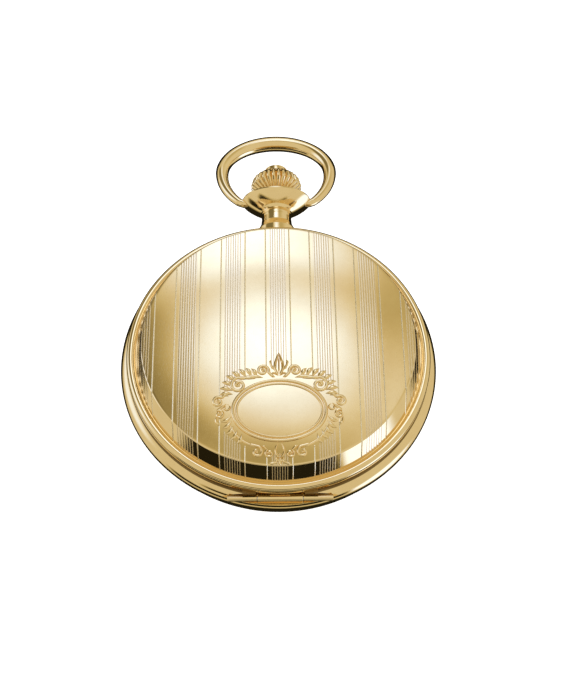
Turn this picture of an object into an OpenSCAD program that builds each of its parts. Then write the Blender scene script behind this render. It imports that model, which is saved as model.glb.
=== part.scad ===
// Hunter-case pocket watch with a hand-wound movement, lying on its back.
// Frame: origin at the centre of the back's flat resting face, +Z out through the lid,
// +Y towards the crown (12 o'clock), lid hinge at -Y (6 o'clock). Millimetres.

/* [Which node] */
// Node to draw, or all

/* [Case] */
// Largest radius of the rounded case band
band_r = 24; // [23.9:0.05:24.2]
// Radius of the band's half-round bulge
bulge_r = 1.9; // [1.8:0.05:1.95]
// Wall thickness of lid and back
shell_t = 0.5; // [0.4:0.05:0.55]
// Rise of the lid's dome above its shoulder
dome_rise = 1.2; // [1.1:0.05:1.3]
// Distance between the middles of neighbouring engraved bands on the lid
stripe_period = 6.75; // [6.65:0.05:6.85]
// Half width of an engraved band, to its border line
stripe_half = 1.82; // [1.7:0.02:1.9]
// Depth of the engraved lines
stripe_depth = 0.08; // [0.05:0.01:0.12]

/* [Cartouche] */
// Half length of the plain oval along X
oval_a = 6.9; // [6:0.1:7.2]
// Half width of the plain oval along Y
oval_b = 4.8; // [4:0.1:5]
// Distance of the oval's centre from the lid's centre, towards the hinge
oval_y = 11.9; // [11.6:0.1:12.2]
// Height of the oval's raised rim
oval_h = 0.25; // [0.15:0.05:0.3]

/* [Pendant and bow] */
// Half width of the pendant's rounded collar
collar_r = 5.6; // [5.4:0.05:5.65]
// Radius of the pendant's neck
neck_r = 2.45; // [2.3:0.05:2.6]
// Radius of the bow's wire
bow_wire_r = 1.0; // [0.9:0.05:1.05]
// Half width of the bow's ring, to the middle of the wire
bow_ring_r = 9.0; // [8.7:0.05:9.05]
// How far the bow hangs below the case's middle plane at rest
bow_droop = 12; // [8:1:14]
// Number of flutes around the crown
crown_flutes = 28; // [24:1:30]
// Largest radius of the crown
crown_r = 4.15; // [4:0.05:4.2]

/* [Dial side] */
// Radius of the dial
dial_r = 19.5; // [19:0.1:19.7]
// Length of the minute hand from its centre
minute_len = 14.2; // [12:0.1:15]
// Length of the hour hand from its centre
hour_len = 9.6; // [8:0.1:11]
// Length of the small seconds hand
second_len = 3.9; // [3:0.1:4.2]

/* [Movement] */
// Number of spokes of the train wheels
spokes = 5; // [4:1:6]
// Turns of the mainspring
main_turns = 6; // [4:1:7]
// Turns of the hairspring
hair_turns = 7; // [5:1:9]

/* [Hidden] */
$fn = 64;
eps = 0.01;
mid_z = 5.6;                 // middle plane of the band, and the winding stem's axis
edge = 2.9;                  // half height of the band
lid_z = mid_z + edge;        // where the lid rests on the band
back_z = mid_z - edge;       // where the back is pressed on the band
rim_r = 22.5;                // band's upright rim
seat_r = 20.8;               // inside of the band
lip_r = 22.8;                // outer edge of lid and back
shoulder_r = 20.3;           // crease between the lid's flank and dome
shoulder_z = 12.65;
hinge_y = -22.9;
hinge_z = 7.3;
hinge_r = 0.7;
knuckle_gap = 3.35;          // half length of the middle knuckle's space
hinge_half = 7.6;
collar_y = 30.4;
collar_foot_y = 28.1;
collar_flat = 0.77;          // depth of the collar along Z, against its width
bow_flat = 0.94;             // height of the bow's oval ring, against its width
cup_y = 31.2;                // hollow back of the collar, where the crown sits
crown_y0 = 31.8;
crown_y1 = 36.8;
stem_r = 0.65;

// Levels through the movement, from the back up to the dial
bridge_z0 = 3.2;
bridge_z1 = 4;
plate_z0 = 5.5;
plate_z1 = 7.4;
dial_z0 = 8.15;
dial_z1 = 8.55;
plate_r = 18.3;

// Arbor positions
barrel_p = [-7.6, 4];
third_p = [4.6, -4.4];
fourth_p = [0, -8.8];
escape_p = [-3.4, -14.4];
balance_p = [-9.8, -8.4];
pallet_p = [-5.8, -12.14];
crown_wheel_p = [0, 6.2];
minute_wheel_p = [1.97, 1.38];
setting_wheel_p = [0.9, 4.7];
lever_p = [4.2, 13.5];
yoke_p = [-4.6, 13.4];
click_p = [-13.2, 0.2];
pallet_foot_p = [-7.85, -14.33];
balance_foot_p = [-15.6, -3.4];

// Gear data
barrel_n = 78;
centre_pinion_n = 12;
centre_n = 80;
third_pinion_n = 10;
third_n = 75;
fourth_pinion_n = 10;
fourth_n = 80;
escape_pinion_n = 8;
ratchet_n = 40;
crown_n = 23;
barrel_m = norm(barrel_p) * 2 / (barrel_n + centre_pinion_n);
centre_m = norm(third_p) * 2 / (centre_n + third_pinion_n);
third_m = norm(third_p - fourth_p) * 2 / (third_n + fourth_pinion_n);
fourth_m = norm(fourth_p - escape_p) * 2 / (fourth_n + escape_pinion_n);
wind_m = norm(barrel_p - crown_wheel_p) * 2 / (ratchet_n + crown_n);
motion_m = norm(minute_wheel_p) * 2 / 48;
hour_m = norm(minute_wheel_p) * 2 / 50;
setting_n = 34;
setting_m = norm(minute_wheel_p - setting_wheel_p) * 2 / (36 + setting_n);

// Screws that hold the bridges: position, head level
barrel_feet = [[-14.2, 10.2], [-5, 15], [4.9, 9]];
train_feet = [[12.4, -7], [6.6, -14.6], [0.9, -16.5]];
jewel_spots = [[0, 0], third_p, fourth_p, escape_p];
clamp_angles = [15, 172];

gold = [0.86, 0.7, 0.38];
gilt = [0.78, 0.62, 0.33];
steel = [0.68, 0.69, 0.72];
blued = [0.12, 0.16, 0.38];
ruby = [0.72, 0.1, 0.24];
white = [0.95, 0.94, 0.9];
glass = [0.8, 0.88, 0.92, 0.35];

// ---------- helpers ----------

// Points on an arc, from angle a0 to a1
function arc(cx, cy, r, a0, a1, n) =
    [for (i = [0:n]) let (a = a0 + (a1 - a0) * i / n) [cx + r * cos(a), cy + r * sin(a)]];

// Points of a shallow dome from radius r to the axis; it rises by rise above z0
function dome(r, z0, rise, n) =
    let (big = (r * r + rise * rise) / (2 * rise))
    [for (i = [0:n]) let (x = r * (1 - i / n)) [x, z0 + rise - big + sqrt(big * big - x * x)]];

// Outline of a spur gear: n teeth of module m
function gear_points(n, m) =
    let (pitch = 360 / n, root = m * n / 2 - 1.2 * m, tip = m * n / 2 + 0.85 * m)
    [for (i = [0:n - 1], k = [[-0.29, root], [-0.22, root + 0.9 * m], [-0.1, tip],
        [0.1, tip], [0.22, root + 0.9 * m], [0.29, root]])
        let (a = (i + k[0]) * pitch) [k[1] * cos(a), k[1] * sin(a)]];

// Turn that sets the second gear's teeth in the first one's gaps
function mesh_turn(p1, n1, turn1, p2, n2) =
    let (line = atan2(p2[1] - p1[1], p2[0] - p1[0]), step = (turn1 - line) * n1 / 360 + 0.5)
    line + 180 - step * 360 / n2;

// Outline of a flat spiral strip
function spiral(r0, r1, turns, w, n) =
    let (pts = [for (i = [0:n]) let (t = i / n) [r0 + (r1 - r0) * t, 360 * turns * t]])
    concat([for (p = pts) [(p[0] + w / 2) * cos(p[1]), (p[0] + w / 2) * sin(p[1])]],
        [for (i = [n:-1:0]) let (p = pts[i])
            [(p[0] - w / 2) * cos(p[1]), (p[0] - w / 2) * sin(p[1])]]);

// Puts children's Z axis on the stem's axis, pointing at 12 o'clock
module on_stem(y = 0) {
    translate([0, y, mid_z]) rotate([-90, 0, 0]) children();
}

// Puts children's Z axis along X, on a line through y and z
module along_x(x, y, z) {
    translate([x, y, z]) rotate([0, 90, 0]) children();
}

module at(p, z = 0) {
    translate([p[0], p[1], z]) children();
}

// Solid cylinder at a plan position between two levels
module post(p, z0, z1, r) {
    translate([p[0], p[1], z0]) cylinder(h = z1 - z0, r = r);
}

// Ring at a plan position between two levels
module ring(p, z0, z1, r_out, r_in) {
    difference() {
        post(p, z0, z1, r_out);
        post(p, z0 - 1, z1 + 1, r_in);
    }
}

module gear(n, m, z0, z1, bore, turn = 0) {
    difference() {
        translate([0, 0, z0]) rotate(turn) linear_extrude(z1 - z0) polygon(gear_points(n, m));
        translate([0, 0, z0 - 1]) cylinder(h = z1 - z0 + 2, r = bore);
    }
}

// Leaves of a pinion cut from its arbor
module pinion(n, m, z0, z1, turn = 0) {
    translate([0, 0, z0]) rotate(turn) linear_extrude(z1 - z0) polygon(gear_points(n, m));
}

// Spoked train wheel: a toothed rim with windows between the spokes
module spoked(n, m, z0, z1, hub, turn = 0) {
    rim = m * n / 2 - 2.8 * m;
    step = 360 / spokes;
    inner = asin(0.17 / hub);
    outer = asin(0.17 / rim);
    translate([0, 0, z0]) rotate(turn) linear_extrude(z1 - z0) difference() {
        polygon(gear_points(n, m));
        for (i = [0:spokes - 1]) rotate((i + 0.5) * step) polygon(concat(
            arc(0, 0, hub, inner - step / 2, step / 2 - inner, 4),
            arc(0, 0, rim, step / 2 - outer, outer - step / 2, 12)));
    }
}

// Screw with a slotted head below z and a shank above it
module screw(p, z, head_r, head_h, shank_r, shank_top) {
    difference() {
        union() {
            post(p, z - head_h, z, head_r);
            post(p, z - eps, shank_top, shank_r);
        }
        translate([p[0] - head_r - 1, p[1] - 0.1, z - head_h - 1])
            cube([2 * head_r + 2, 0.2, 1 + head_h / 2]);
    }
}

// ---------- case ----------

// Half-round band with upright rims
module band_solid() {
    rotate_extrude() polygon(concat(
        [[seat_r, back_z], [rim_r, back_z]],
        arc(band_r - bulge_r, mid_z, bulge_r, -75, 75, 11),
        [[rim_r, lid_z], [seat_r, lid_z]]));
}

module case_middle() color(gold) {
    difference() {
        band_solid();
        // straight seat for the hinge tubes
        translate([-hinge_half - 0.9, -26, hinge_z - hinge_r - 0.1])
            cube([2 * hinge_half + 1.8, 26 + hinge_y + hinge_r + 0.1, 4]);
        // room for the lid's hinge arms
        translate([-hinge_half - 0.2, -26, hinge_z + 0.5])
            cube([2 * hinge_half + 0.4, 4.7, 3]);
        // seat of the pendant
        on_stem(19) rotate(30) cylinder(h = 6, r = 1.9);
        on_stem(22.9) rotate(30) cylinder(h = 3, r = 2.85);
        // slot that the lid's catch reaches through
        translate([-1.6, 20.2, 7.5]) cube([3.2, 1.5, 3]);
    }
}

// Push-fit back: flat resting face, shallow dome, flank and bead
module back_cover() color(gold) rotate_extrude() polygon(concat(
    [[0, 0], [12, 0], [16.5, 0.25], [20.4, 0.75], [21.35, 1.75]],
    arc(22.15, back_z - 0.6, 0.65, 225, 360, 8),
    [[lip_r, back_z], [21.6, back_z], [21.3, 2.2], [20.2, 0.75 + shell_t + 0.05],
        [16.5, 0.3 + shell_t], [12, shell_t], [0, shell_t]]));

// Ring pressed on the band, over the dial's edge, and holds the crystal
module bezel() color(gold) difference() {
    rotate(45) rotate_extrude() polygon([
        [18.2, 8.6], [20.3, 8.6], [20.3, dial_z0], [seat_r, dial_z0], [seat_r, lid_z],
        [21.2, lid_z], [21.2, 8.8], [20.3, 9.6], [19.5, 9.75], [18.9, 9.6], [18.9, 9.05],
        [18.2, 9.05]]);
    // notch for the lid's catch
    translate([-1.5, 20.6, 7]) cube([3, 2, 3]);
}

// Domed crystal held in the bezel
module crystal() color(glass) rotate_extrude() polygon(concat(
    [[18.9, 9.05]],
    dome(18.9, 9.6, 1.3, 14),
    [for (i = [14:-1:0]) dome(18.2, 9.05, 1.1, 14)[i]]));

// ---------- lid ----------

function lid_outer() = concat(
    [[21.6, lid_z], [lip_r, lid_z]],
    arc(22.15, lid_z + 0.65, 0.65, 0, 130, 8),
    [[21.45, lid_z + 1.05]],
    arc(shoulder_r - 0.45, shoulder_z - 0.35, 0.5, 40, 80, 3),
    dome(shoulder_r - 0.6, shoulder_z + 0.16, dome_rise - 0.16, 16));

module lid_blank() {
    rotate_extrude() polygon(concat(lid_outer(),
        [for (p = dome(shoulder_r - 0.8, shoulder_z - shell_t + 0.05, dome_rise - 0.05, 14))
            [max(0, shoulder_r - 0.8 - p[0]), dome_at(shoulder_r - 0.8 - p[0])]],
        [[21.15, lid_z + 0.7]]));
}

function dome_at(x) =
    let (r = shoulder_r - 0.8, rise = dome_rise - 0.05, big = (r * r + rise * rise) / (2 * rise))
    shoulder_z - shell_t + 0.05 + rise - big + sqrt(big * big - x * x);

// Oval prism over the lid's cartouche
module oval(a, b, z0, z1) {
    translate([0, -oval_y, z0]) linear_extrude(z1 - z0)
        polygon([for (i = [0:47]) [a * cos(i * 7.5), b * sin(i * 7.5)]]);
}

// Skin of the lid between two heights above its dome
module lid_skin(low, high) {
    rotate_extrude() polygon(concat(
        [for (p = dome(shoulder_r - 0.6, shoulder_z + 0.16 + high, dome_rise - 0.16, 16)) p],
        [for (i = [0:16]) let (p = dome(shoulder_r - 0.6, shoulder_z + 0.16 + low,
            dome_rise - 0.16, 16)[16 - i]) p]));
}

module lid() color(gold) {
    difference() {
        lid_blank();
        // engraved border lines across the lid, clear of the cartouche
        difference() {
            intersection() {
                lid_skin(-stripe_depth, 0.2);
                for (i = [-3:3], s = [-1, 1]) let (x = i * stripe_period + s * stripe_half)
                    if (abs(x) < 19) translate([x - 0.07, -30, 0]) cube([0.14, 60, 30]);
            }
            oval(oval_a + 1.6, oval_b + 1.6, 0, 30);
        }
    }
    // raised double rim around the plain oval
    intersection() {
        lid_skin(-0.02, oval_h);
        difference() {
            oval(oval_a, oval_b, 0, 30);
            oval(oval_a - 0.5, oval_b - 0.5, -1, 31);
        }
    }
}

// Two outer hinge tubes with their arms up to the lid's edge
module lid_hinge_knuckles() color(gold) {
    for (s = [-1, 1]) difference() {
        union() {
            along_x(s > 0 ? knuckle_gap : -hinge_half, hinge_y, hinge_z)
                cylinder(h = hinge_half - knuckle_gap, r = hinge_r);
            translate([s > 0 ? knuckle_gap + 0.1 : -hinge_half + 0.1, hinge_y - 0.1, hinge_z + 0.55])
                cube([hinge_half - knuckle_gap - 0.2, 1.6, lid_z - hinge_z - 0.55]);
        }
        along_x(-10, hinge_y, hinge_z) cylinder(h = 20, r = 0.35);
    }
}

// Middle hinge tube, soldered to the band
module case_hinge_knuckle() color(gold) difference() {
    union() {
        along_x(-knuckle_gap + 0.1, hinge_y, hinge_z)
            cylinder(h = 2 * knuckle_gap - 0.2, r = hinge_r);
        translate([-knuckle_gap + 0.1, hinge_y - 0.2, hinge_z - hinge_r - 0.1])
            cube([2 * knuckle_gap - 0.2, 0.4, 0.3]);
    }
    along_x(-10, hinge_y, hinge_z) cylinder(h = 20, r = 0.3);
}

module hinge_pin() color(steel)
    along_x(-hinge_half + 0.05, hinge_y, hinge_z) cylinder(h = 2 * hinge_half - 0.1, r = 0.3);

// Curved strip inside the band, screwed at one end
module band_strip(a0, a1, z0, z1, r0, r1) {
    translate([0, 0, z0]) rotate([0, 0, a0])
        rotate_extrude(angle = a1 - a0) translate([r0, 0]) square([r1 - r0, z1 - z0]);
}

module lid_lift_spring() color(steel) band_strip(205, 262, 2.9, 4.1, 19.9, 20.3);

// Catch whose nose holds the lid's lip beside the pendant
module lid_catch() color(steel) {
    translate([-1.4, 20.35, 7.6]) cube([2.8, 1.07, 0.5]);
    translate([-1, 21.22, 7.6]) cube([2, 0.2, 1.1]);
}

module catch_screws() color(steel) for (a = [206, 236]) rotate(a)
    translate([19.0, 0, 3.5]) rotate([0, 90, 0]) cylinder(h = 0.9, r = 0.4);

// ---------- pendant, bow and crown ----------

// Rounded collar, wider along X than it is deep
module collar() {
    translate([0, 0, mid_z]) scale([1, 1, collar_flat]) translate([0, 0, -mid_z])
        on_stem() rotate(45) rotate_extrude() polygon(concat([[1.3, collar_foot_y - 0.2]],
            [for (i = [0:9]) let (a = 65 - i * 6.5)
                [collar_r * cos(a), collar_y - 2.6 * sin(a)]],
            [[collar_r - 0.02, collar_y + 0.3], [collar_r - 0.4, cup_y], [1.3, cup_y]]));
}

module pendant() color(gold) difference() {
    union() {
        on_stem() rotate(45) rotate_extrude() polygon([[1.3, 20.85], [1.9, 20.85], [1.9, 22.9],
            [2.85, 22.9], [2.85, 24.3], [2.6, 25], [neck_r, 25.7], [neck_r - 0.05, 27.2],
            [neck_r, collar_foot_y + 0.2], [1.3, collar_foot_y + 0.2]]);
        collar();
    }
    on_stem(20) cylinder(h = 14, r = 1.3);
    for (s = [-1, 1]) along_x(s > 0 ? 3 : -5.9, collar_y, mid_z) cylinder(h = 2.9, r = 0.55);
}

module crown_tube() color(steel) difference() {
    on_stem(20.85) cylinder(h = 32.4 - 20.85, r = 1.3);
    on_stem(18) cylinder(h = 17, r = 0.75);
}

// Oval ring of wire whose ends pivot in the collar
module bow() color(gold) {
    ring_end = 6.15;
    end_a = acos(ring_end / bow_ring_r);
    translate([0, collar_y, mid_z]) rotate([-bow_droop, 0, 0]) {
        scale([1, bow_flat, 1]) translate([0, bow_ring_r * sin(end_a), 0]) rotate([0, 0, -end_a])
            rotate_extrude(angle = 180 + 2 * end_a) translate([bow_ring_r, 0]) circle(r = bow_wire_r);
        for (s = [-1, 1])
            along_x(s > 0 ? 3.2 : -ring_end - 0.1, 0, 0) cylinder(h = ring_end - 3.1, r = 0.5);
    }
}

// Onion crown: a fluted bulb that narrows towards the collar, with a plain cap
module crown() color(gold) difference() {
    on_stem() rotate_extrude() polygon(concat(
        [[0, crown_y0], [2.5, crown_y0], [crown_r - 0.1, crown_y0 + 1.25]],
        arc(crown_r - 2.4, crown_y0 + 1.6, 2.4, 0, 62, 8),
        [[2.1, crown_y1 - 0.85], [1.95, crown_y1 - 0.75], [1.9, crown_y1 - 0.25],
            [1.3, crown_y1], [0, crown_y1]]));
    for (i = [0:crown_flutes - 1])
        on_stem() rotate(i * 360 / crown_flutes) translate([crown_r + 0.3, 0, crown_y0 - 0.5])
            rotate([0, -5, 0]) cylinder(h = 4.6, r = 0.42);
    on_stem(crown_y0 - 1) cylinder(h = 3.2, r = 0.6);
    on_stem(crown_y0 - 1) cylinder(h = 2.2, r = 1.7);
}

module winding_stem() color(steel) difference() {
    union() {
        on_stem(7.7) cylinder(h = 26.1, r = 0.6);
        on_stem(12.5) cylinder(h = 19, r = stem_r);
    }
    // groove for the setting lever's pin
    difference() {
        on_stem(14) cylinder(h = 0.6, r = 1);
        on_stem(13.5) cylinder(h = 2, r = 0.4);
    }
}

// ---------- dial side ----------

module movement_ring() color(gilt) difference() {
    ring([0, 0], plate_z0, dial_z0, seat_r, plate_r + 0.15);
    on_stem(17) cylinder(h = 5, r = 1.4);
    for (a = clamp_angles) rotate(a) post([19.2, 0], 5, 7.2, 0.4);
    translate([-1.6, 19.7, 7.5]) cube([3.2, 1.6, 2]);
}

module case_clamps() color(steel) for (a = clamp_angles) rotate(a) difference() {
    translate([16.9, -0.9, plate_z0 - 0.4]) cube([3.2, 1.8, 0.4]);
    post([19.2, 0], 4, 6, 0.42);
}

module case_screws() color(steel) for (a = clamp_angles) rotate(a)
    screw([19.2, 0], plate_z0 - 0.4, 0.75, 0.35, 0.38, 7);

module dial() color(white) {
    difference() {
        post([0, 0], dial_z0, dial_z1, dial_r);
        post([0, 0], 7, 9, 1.15);
        // sunk small-seconds circle
        post(fourth_p, dial_z1 - 0.12, 9, 5);
        post(fourth_p, 7, 9, 0.35);
    }
    for (p = [[12.5, 9.5], [-13, -8.5]]) post(p, 6.6, dial_z0 + eps, 0.35);
}

// Spade-style hand pointing along +Y
module hand(len, spade_y, spade_r, w, z0, z1, hub, bore) {
    difference() {
        union() {
            translate([0, 0, z0]) cylinder(h = z1 - z0, r = hub);
            translate([0, 0, z0]) linear_extrude(z1 - z0)
                polygon([[-w, 0], [-w * 0.7, spade_y], [0, len], [w * 0.7, spade_y], [w, 0]]);
            translate([0, spade_y, z0]) cylinder(h = z1 - z0, r = spade_r);
        }
        translate([0, spade_y, z0 - 1]) cylinder(h = 3, r = spade_r * 0.45);
        translate([0, 0, z0 - 1]) cylinder(h = 3, r = bore);
    }
}

hand_hour_a = 55;     // hands at rest show ten past ten
hand_minute_a = -60;

module hour_hand() color(blued)
    rotate(hand_hour_a) hand(hour_len, hour_len * 0.68, 1, 0.32, 8.95, 9.1, 1.3, 0.85);

module minute_hand() color(blued)
    rotate(hand_minute_a) hand(minute_len, minute_len * 0.7, 0.8, 0.26, 9.25, 9.4, 1, 0.45);

module second_hand() color(blued) at(fourth_p) difference() {
    union() {
        post([0, 0], 8.7, 8.82, 0.45);
        translate([-0.07, -1.2, 8.7]) cube([0.14, 1.2 + second_len, 0.12]);
    }
    post([0, 0], 8, 9, 0.13);
}

module cannon_pinion() color(steel) {
    gear(12, motion_m, 7.45, 7.75, 0.3, 15);
    ring([0, 0], 7.75, 9.45, 0.45, 0.3);
}

module minute_wheel() color(gilt) at(minute_wheel_p) {
    ang = atan2(minute_wheel_p[1], minute_wheel_p[0]);
    gear(36, motion_m, 7.5, 7.7, 0.2, ang);
    gear(10, hour_m, 7.7, 8.05, 0.2, ang);
}

module hour_wheel() color(gilt) {
    ang = atan2(minute_wheel_p[1], minute_wheel_p[0]);
    gear(40, hour_m, 7.82, 8, 0.5, ang + 4.5);
    ring([0, 0], 8, 9.12, 0.85, 0.5);
}

module setting_wheel() color(gilt) at(setting_wheel_p)
    gear(setting_n, setting_m, 7.5, 7.7, 0.3, 3);

// ---------- plates and bridges ----------

module main_plate() color(gilt) difference() {
    post([0, 0], plate_z0, plate_z1, plate_r);
    post(barrel_p, plate_z0 - 1, 6.4, 7.95);
    post(barrel_p, 6, 8, 0.8);
    // window for the winding and sliding pinions
    translate([-2.5, 6, plate_z0 - 1]) cube([5, 5.4, 4]);
    on_stem(10) cylinder(h = 10, r = 0.72);
    translate([-0.4, 13.5, mid_z]) cube([0.8, 2, 3]);
    for (p = jewel_spots) post(p, plate_z0 - 1, 9, p == [0, 0] ? 0.75 : 0.6);
    for (p = [pallet_p, balance_p]) post(p, plate_z0 - 1, 9, 0.6);
    for (p = concat(barrel_feet, train_feet, [pallet_foot_p, balance_foot_p]))
        post(p, plate_z0 - 1, 6.6, 0.42);
    for (p = [[12.5, 9.5], [-13, -8.5]]) post(p, 6, 8, 0.4);
    for (p = [lever_p, yoke_p]) post(p, 6, 8, 0.35);
    post(setting_wheel_p, 6.6, 8, 0.28);
    post(minute_wheel_p, 6.6, 8, 0.18);
}

// Bridge plate: a flat outline with feet down to the main plate
module bridge_body(feet, foot_r) {
    difference() {
        union() {
            translate([0, 0, bridge_z0]) linear_extrude(bridge_z1 - bridge_z0) children();
            for (p = feet) post(p, bridge_z0, plate_z0, foot_r);
        }
        for (p = feet) post(p, 0, 9, 0.44);
    }
}

module disc(p, r) {
    translate(p) circle(r = r, $fn = 32);
}

module train_outline(grow = 0) {
    hull() {
        disc([0, 0], 1.7 + grow);
        disc(third_p, 1.4 + grow);
        for (p = train_feet) disc(p, 1.2 + grow);
        disc(escape_p, 1.2 + grow);
    }
}

module barrel_bridge() color(gilt) difference() {
    bridge_body(barrel_feet, 1.15) difference() {
        hull() {
            disc(barrel_p, 8.1);
            for (p = barrel_feet) disc(p, 1.2);
        }
        train_outline(0.3);
        // room for the winding pinion
        translate([-2.4, 8.75]) square([4.8, 2.8]);
    }
    post(barrel_p, 2, 5, 1.05);
    post(crown_wheel_p, 2, 3.6, 3.2);
    post(crown_wheel_p, 2, 5, 0.42);
    post(click_p, 2, 5, 0.35);
}

module train_bridge() color(gilt) difference() {
    bridge_body(train_feet, 1.15) train_outline();
    for (p = jewel_spots) post(p, 2, 5, p == [0, 0] ? 0.75 : 0.6);
}

module balance_cock() color(gilt) difference() {
    union() {
        translate([0, 0, bridge_z0]) linear_extrude(0.55) hull() {
            disc(balance_p, 1.5);
            disc(balance_foot_p, 1.9);
        }
        post(balance_foot_p, bridge_z0, plate_z0, 1.6);
    }
    post(balance_foot_p, 0, 9, 0.44);
    post(balance_p, 0, 9, 0.6);
}

module pallet_cock() color(gilt) difference() {
    union() {
        translate([0, 0, 3.9]) linear_extrude(0.5) hull() {
            disc(pallet_p, 0.7);
            disc(pallet_foot_p, 0.95);
        }
        post(pallet_foot_p, 3.9, plate_z0, 0.9);
    }
    post(pallet_foot_p, 0, 9, 0.44);
    post(pallet_p, 0, 9, 0.3);
}

module bridge_screws() color(blued) {
    for (p = concat(barrel_feet, train_feet, [balance_foot_p]))
        screw(p, bridge_z0, 0.8, 0.3, 0.4, 6.4);
    screw(pallet_foot_p, 3.9, 0.65, 0.25, 0.4, 6.4);
}

module plate_jewels() color(ruby) {
    ring([0, 0], 6.3, 7.2, 0.75, 0.42);
    for (p = [third_p, fourth_p, escape_p, pallet_p, balance_p])
        ring(p, 5.9, 6.4, 0.6, 0.14);
}

module bridge_jewels() color(ruby) {
    ring([0, 0], 3.3, 3.8, 0.75, 0.34);
    for (p = [third_p, fourth_p, escape_p])
        ring(p, 3.3, 3.8, 0.6, 0.14);
    ring(balance_p, 3.25, 3.6, 0.6, 0.12);
    ring(pallet_p, 3.95, 4.3, 0.3, 0.1);
}

// ---------- barrel and winding ----------

module mainspring_barrel() color(gilt) at(barrel_p) {
    gear(barrel_n, barrel_m, 5, 5.4, 7, 180 / barrel_n);
    ring([0, 0], 4.4, 6.2, 7.05, 6.75);
    ring([0, 0], 6.05, 6.2, 7, 0.75);
}

module barrel_cover() color(gilt) ring(barrel_p, 4.4, 4.55, 6.75, 0.75);

module mainspring() color(steel) at(barrel_p, 4.7) linear_extrude(1.2)
    polygon(spiral(1.5, 6.55, main_turns, 0.12, 40 * main_turns));

module barrel_arbor() color(steel) at(barrel_p) {
    post([0, 0], 4.6, 6, 1.4);
    post([0, 0], 3.15, 6.8, 0.7);
    post([0, 0], 3.15, 4.15, 0.98);
}

module ratchet_wheel() color(steel) at(barrel_p) {
    gear(ratchet_n, wind_m, 2.75, 3.15, 0.42, 0);
}

module ratchet_screw() color(blued) at(barrel_p) {
    screw([0, 0], 2.75, 1.3, 0.3, 0.4, 3.14);
}

// Crown wheel with face teeth underneath that meet the winding pinion
module crown_wheel() color(steel) at(crown_wheel_p) {
    gear(crown_n, wind_m, 2.75, 3.15, 0.5, mesh_turn(barrel_p, ratchet_n, 0, crown_wheel_p, crown_n));
    for (i = [0:crown_n - 1]) rotate(i * 360 / crown_n + 3)
        translate([2.05, -0.14, 3.15 - eps]) cube([0.45, 0.28, 0.36]);
}

module crown_wheel_screw() color(blued) at(crown_wheel_p)
    screw([0, 0], 2.74, 1.2, 0.3, 0.4, 3.9);

module click() color(steel) difference() {
    union() {
        post(click_p, 2.75, 3.15, 0.8);
        translate([0, 0, 2.75]) linear_extrude(0.4)
            polygon([[-13.5, 0.6], [-12.7, 0.7], [-12.15, 1.1], [-12.3, -0.5], [-12.8, -0.6]]);
        post(click_p, 3.14, 3.9, 0.3);
    }
}

module click_spring() color(steel) difference() {
    translate([0, 0, 2.8]) linear_extrude(0.3)
        polygon([[-14.4, -0.4], [-14.15, -0.45], [-14.9, 3.2], [-14.5, 5.9], [-13.9, 7.2],
            [-14.2, 7.4], [-14.85, 6], [-15.25, 3.2]]);
}

// ---------- going train ----------

module centre_wheel() color(gilt) {
    spoked(centre_n, centre_m, 4.12, 4.3, 1);
    pinion(centre_pinion_n, barrel_m, 4.95, 5.45, atan2(-4, 7.6) + 180);
    post([0, 0], 3.35, 9.3, 0.27);
    post([0, 0], 4.05, 5.9, 0.4);
}

module third_wheel() color(gilt) at(third_p) {
    turn = atan2(third_p[1], third_p[0]) + 180;
    pinion(third_pinion_n, centre_m, 4.08, 4.5, turn + 18);
    spoked(third_n, third_m, 4.62, 4.78, 0.8, 2.4);
    post([0, 0], 4.04, 5.7, 0.22);
    post([0, 0], 3.4, 6.3, 0.12);
}

module fourth_wheel() color(gilt) at(fourth_p) {
    pinion(fourth_pinion_n, third_m, 4.56, 4.92, atan2(4.4, 4.6) + 18);
    spoked(fourth_n, fourth_m, 5.05, 5.2, 0.8);
    post([0, 0], 4.2, 5.7, 0.25);
    post([0, 0], 3.4, 8.9, 0.12);
}

module escape_wheel() color(steel) at(escape_p) {
    pinion(escape_pinion_n, fourth_m, 4.98, 5.36, atan2(5.6, 3.4) + 22.5);
    translate([0, 0, 4.68]) linear_extrude(0.15) polygon([for (i = [0:14], k = [[0, 1.95],
        [3, 2.55], [4.6, 2.6], [8, 2.05], [16, 1.95]])
        let (a = i * 24 + k[0]) [k[1] * cos(a), k[1] * sin(a)]]);
    post([0, 0], 4.3, 5.6, 0.2);
    post([0, 0], 3.4, 6.3, 0.12);
}

// Lever with two ruby stones at the escape wheel and a forked tail at the balance
module pallet_fork() color(steel) at(pallet_p) rotate(atan2(3.74, -4)) {
    translate([0, 0, 4.68]) linear_extrude(0.2) polygon([[-0.3, -0.35], [-0.95, -1.9],
        [-0.55, -2.05], [0.35, -0.4], [3.7, -0.16], [4.05, -0.42], [4.35, -0.42], [4.2, -0.14],
        [3.95, 0], [4.2, 0.14], [4.35, 0.42], [4.05, 0.42], [3.7, 0.16], [0.35, 0.4],
        [-0.55, 2.05], [-0.95, 1.9], [-0.3, 0.35]]);
    post([0, 0], 4.05, 6.2, 0.09);
    post([0, 0], 4.5, 5.6, 0.2);
}

module balance_wheel() color(gilt) at(balance_p) {
    ring([0, 0], 4.05, 4.4, 4.7, 4.15);
    difference() {
        union() {
            post([0, 0], 4.1, 4.3, 0.8);
            translate([-4.2, -0.25, 4.1]) cube([8.4, 0.5, 0.2]);
        }
        post([0, 0], 3, 5, 0.3);
    }
}

// Staff, roller and impulse pin
module balance_staff() color(steel) at(balance_p) {
    post([0, 0], 3.4, 6.3, 0.1);
    post([0, 0], 4, 5.7, 0.3);
    post([0, 0], 4.48, 4.6, 1.25);
    rotate(atan2(-3.74, 4)) translate([1.05, 0, 4.5]) cylinder(h = 0.35, r = 0.08);
}

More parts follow.
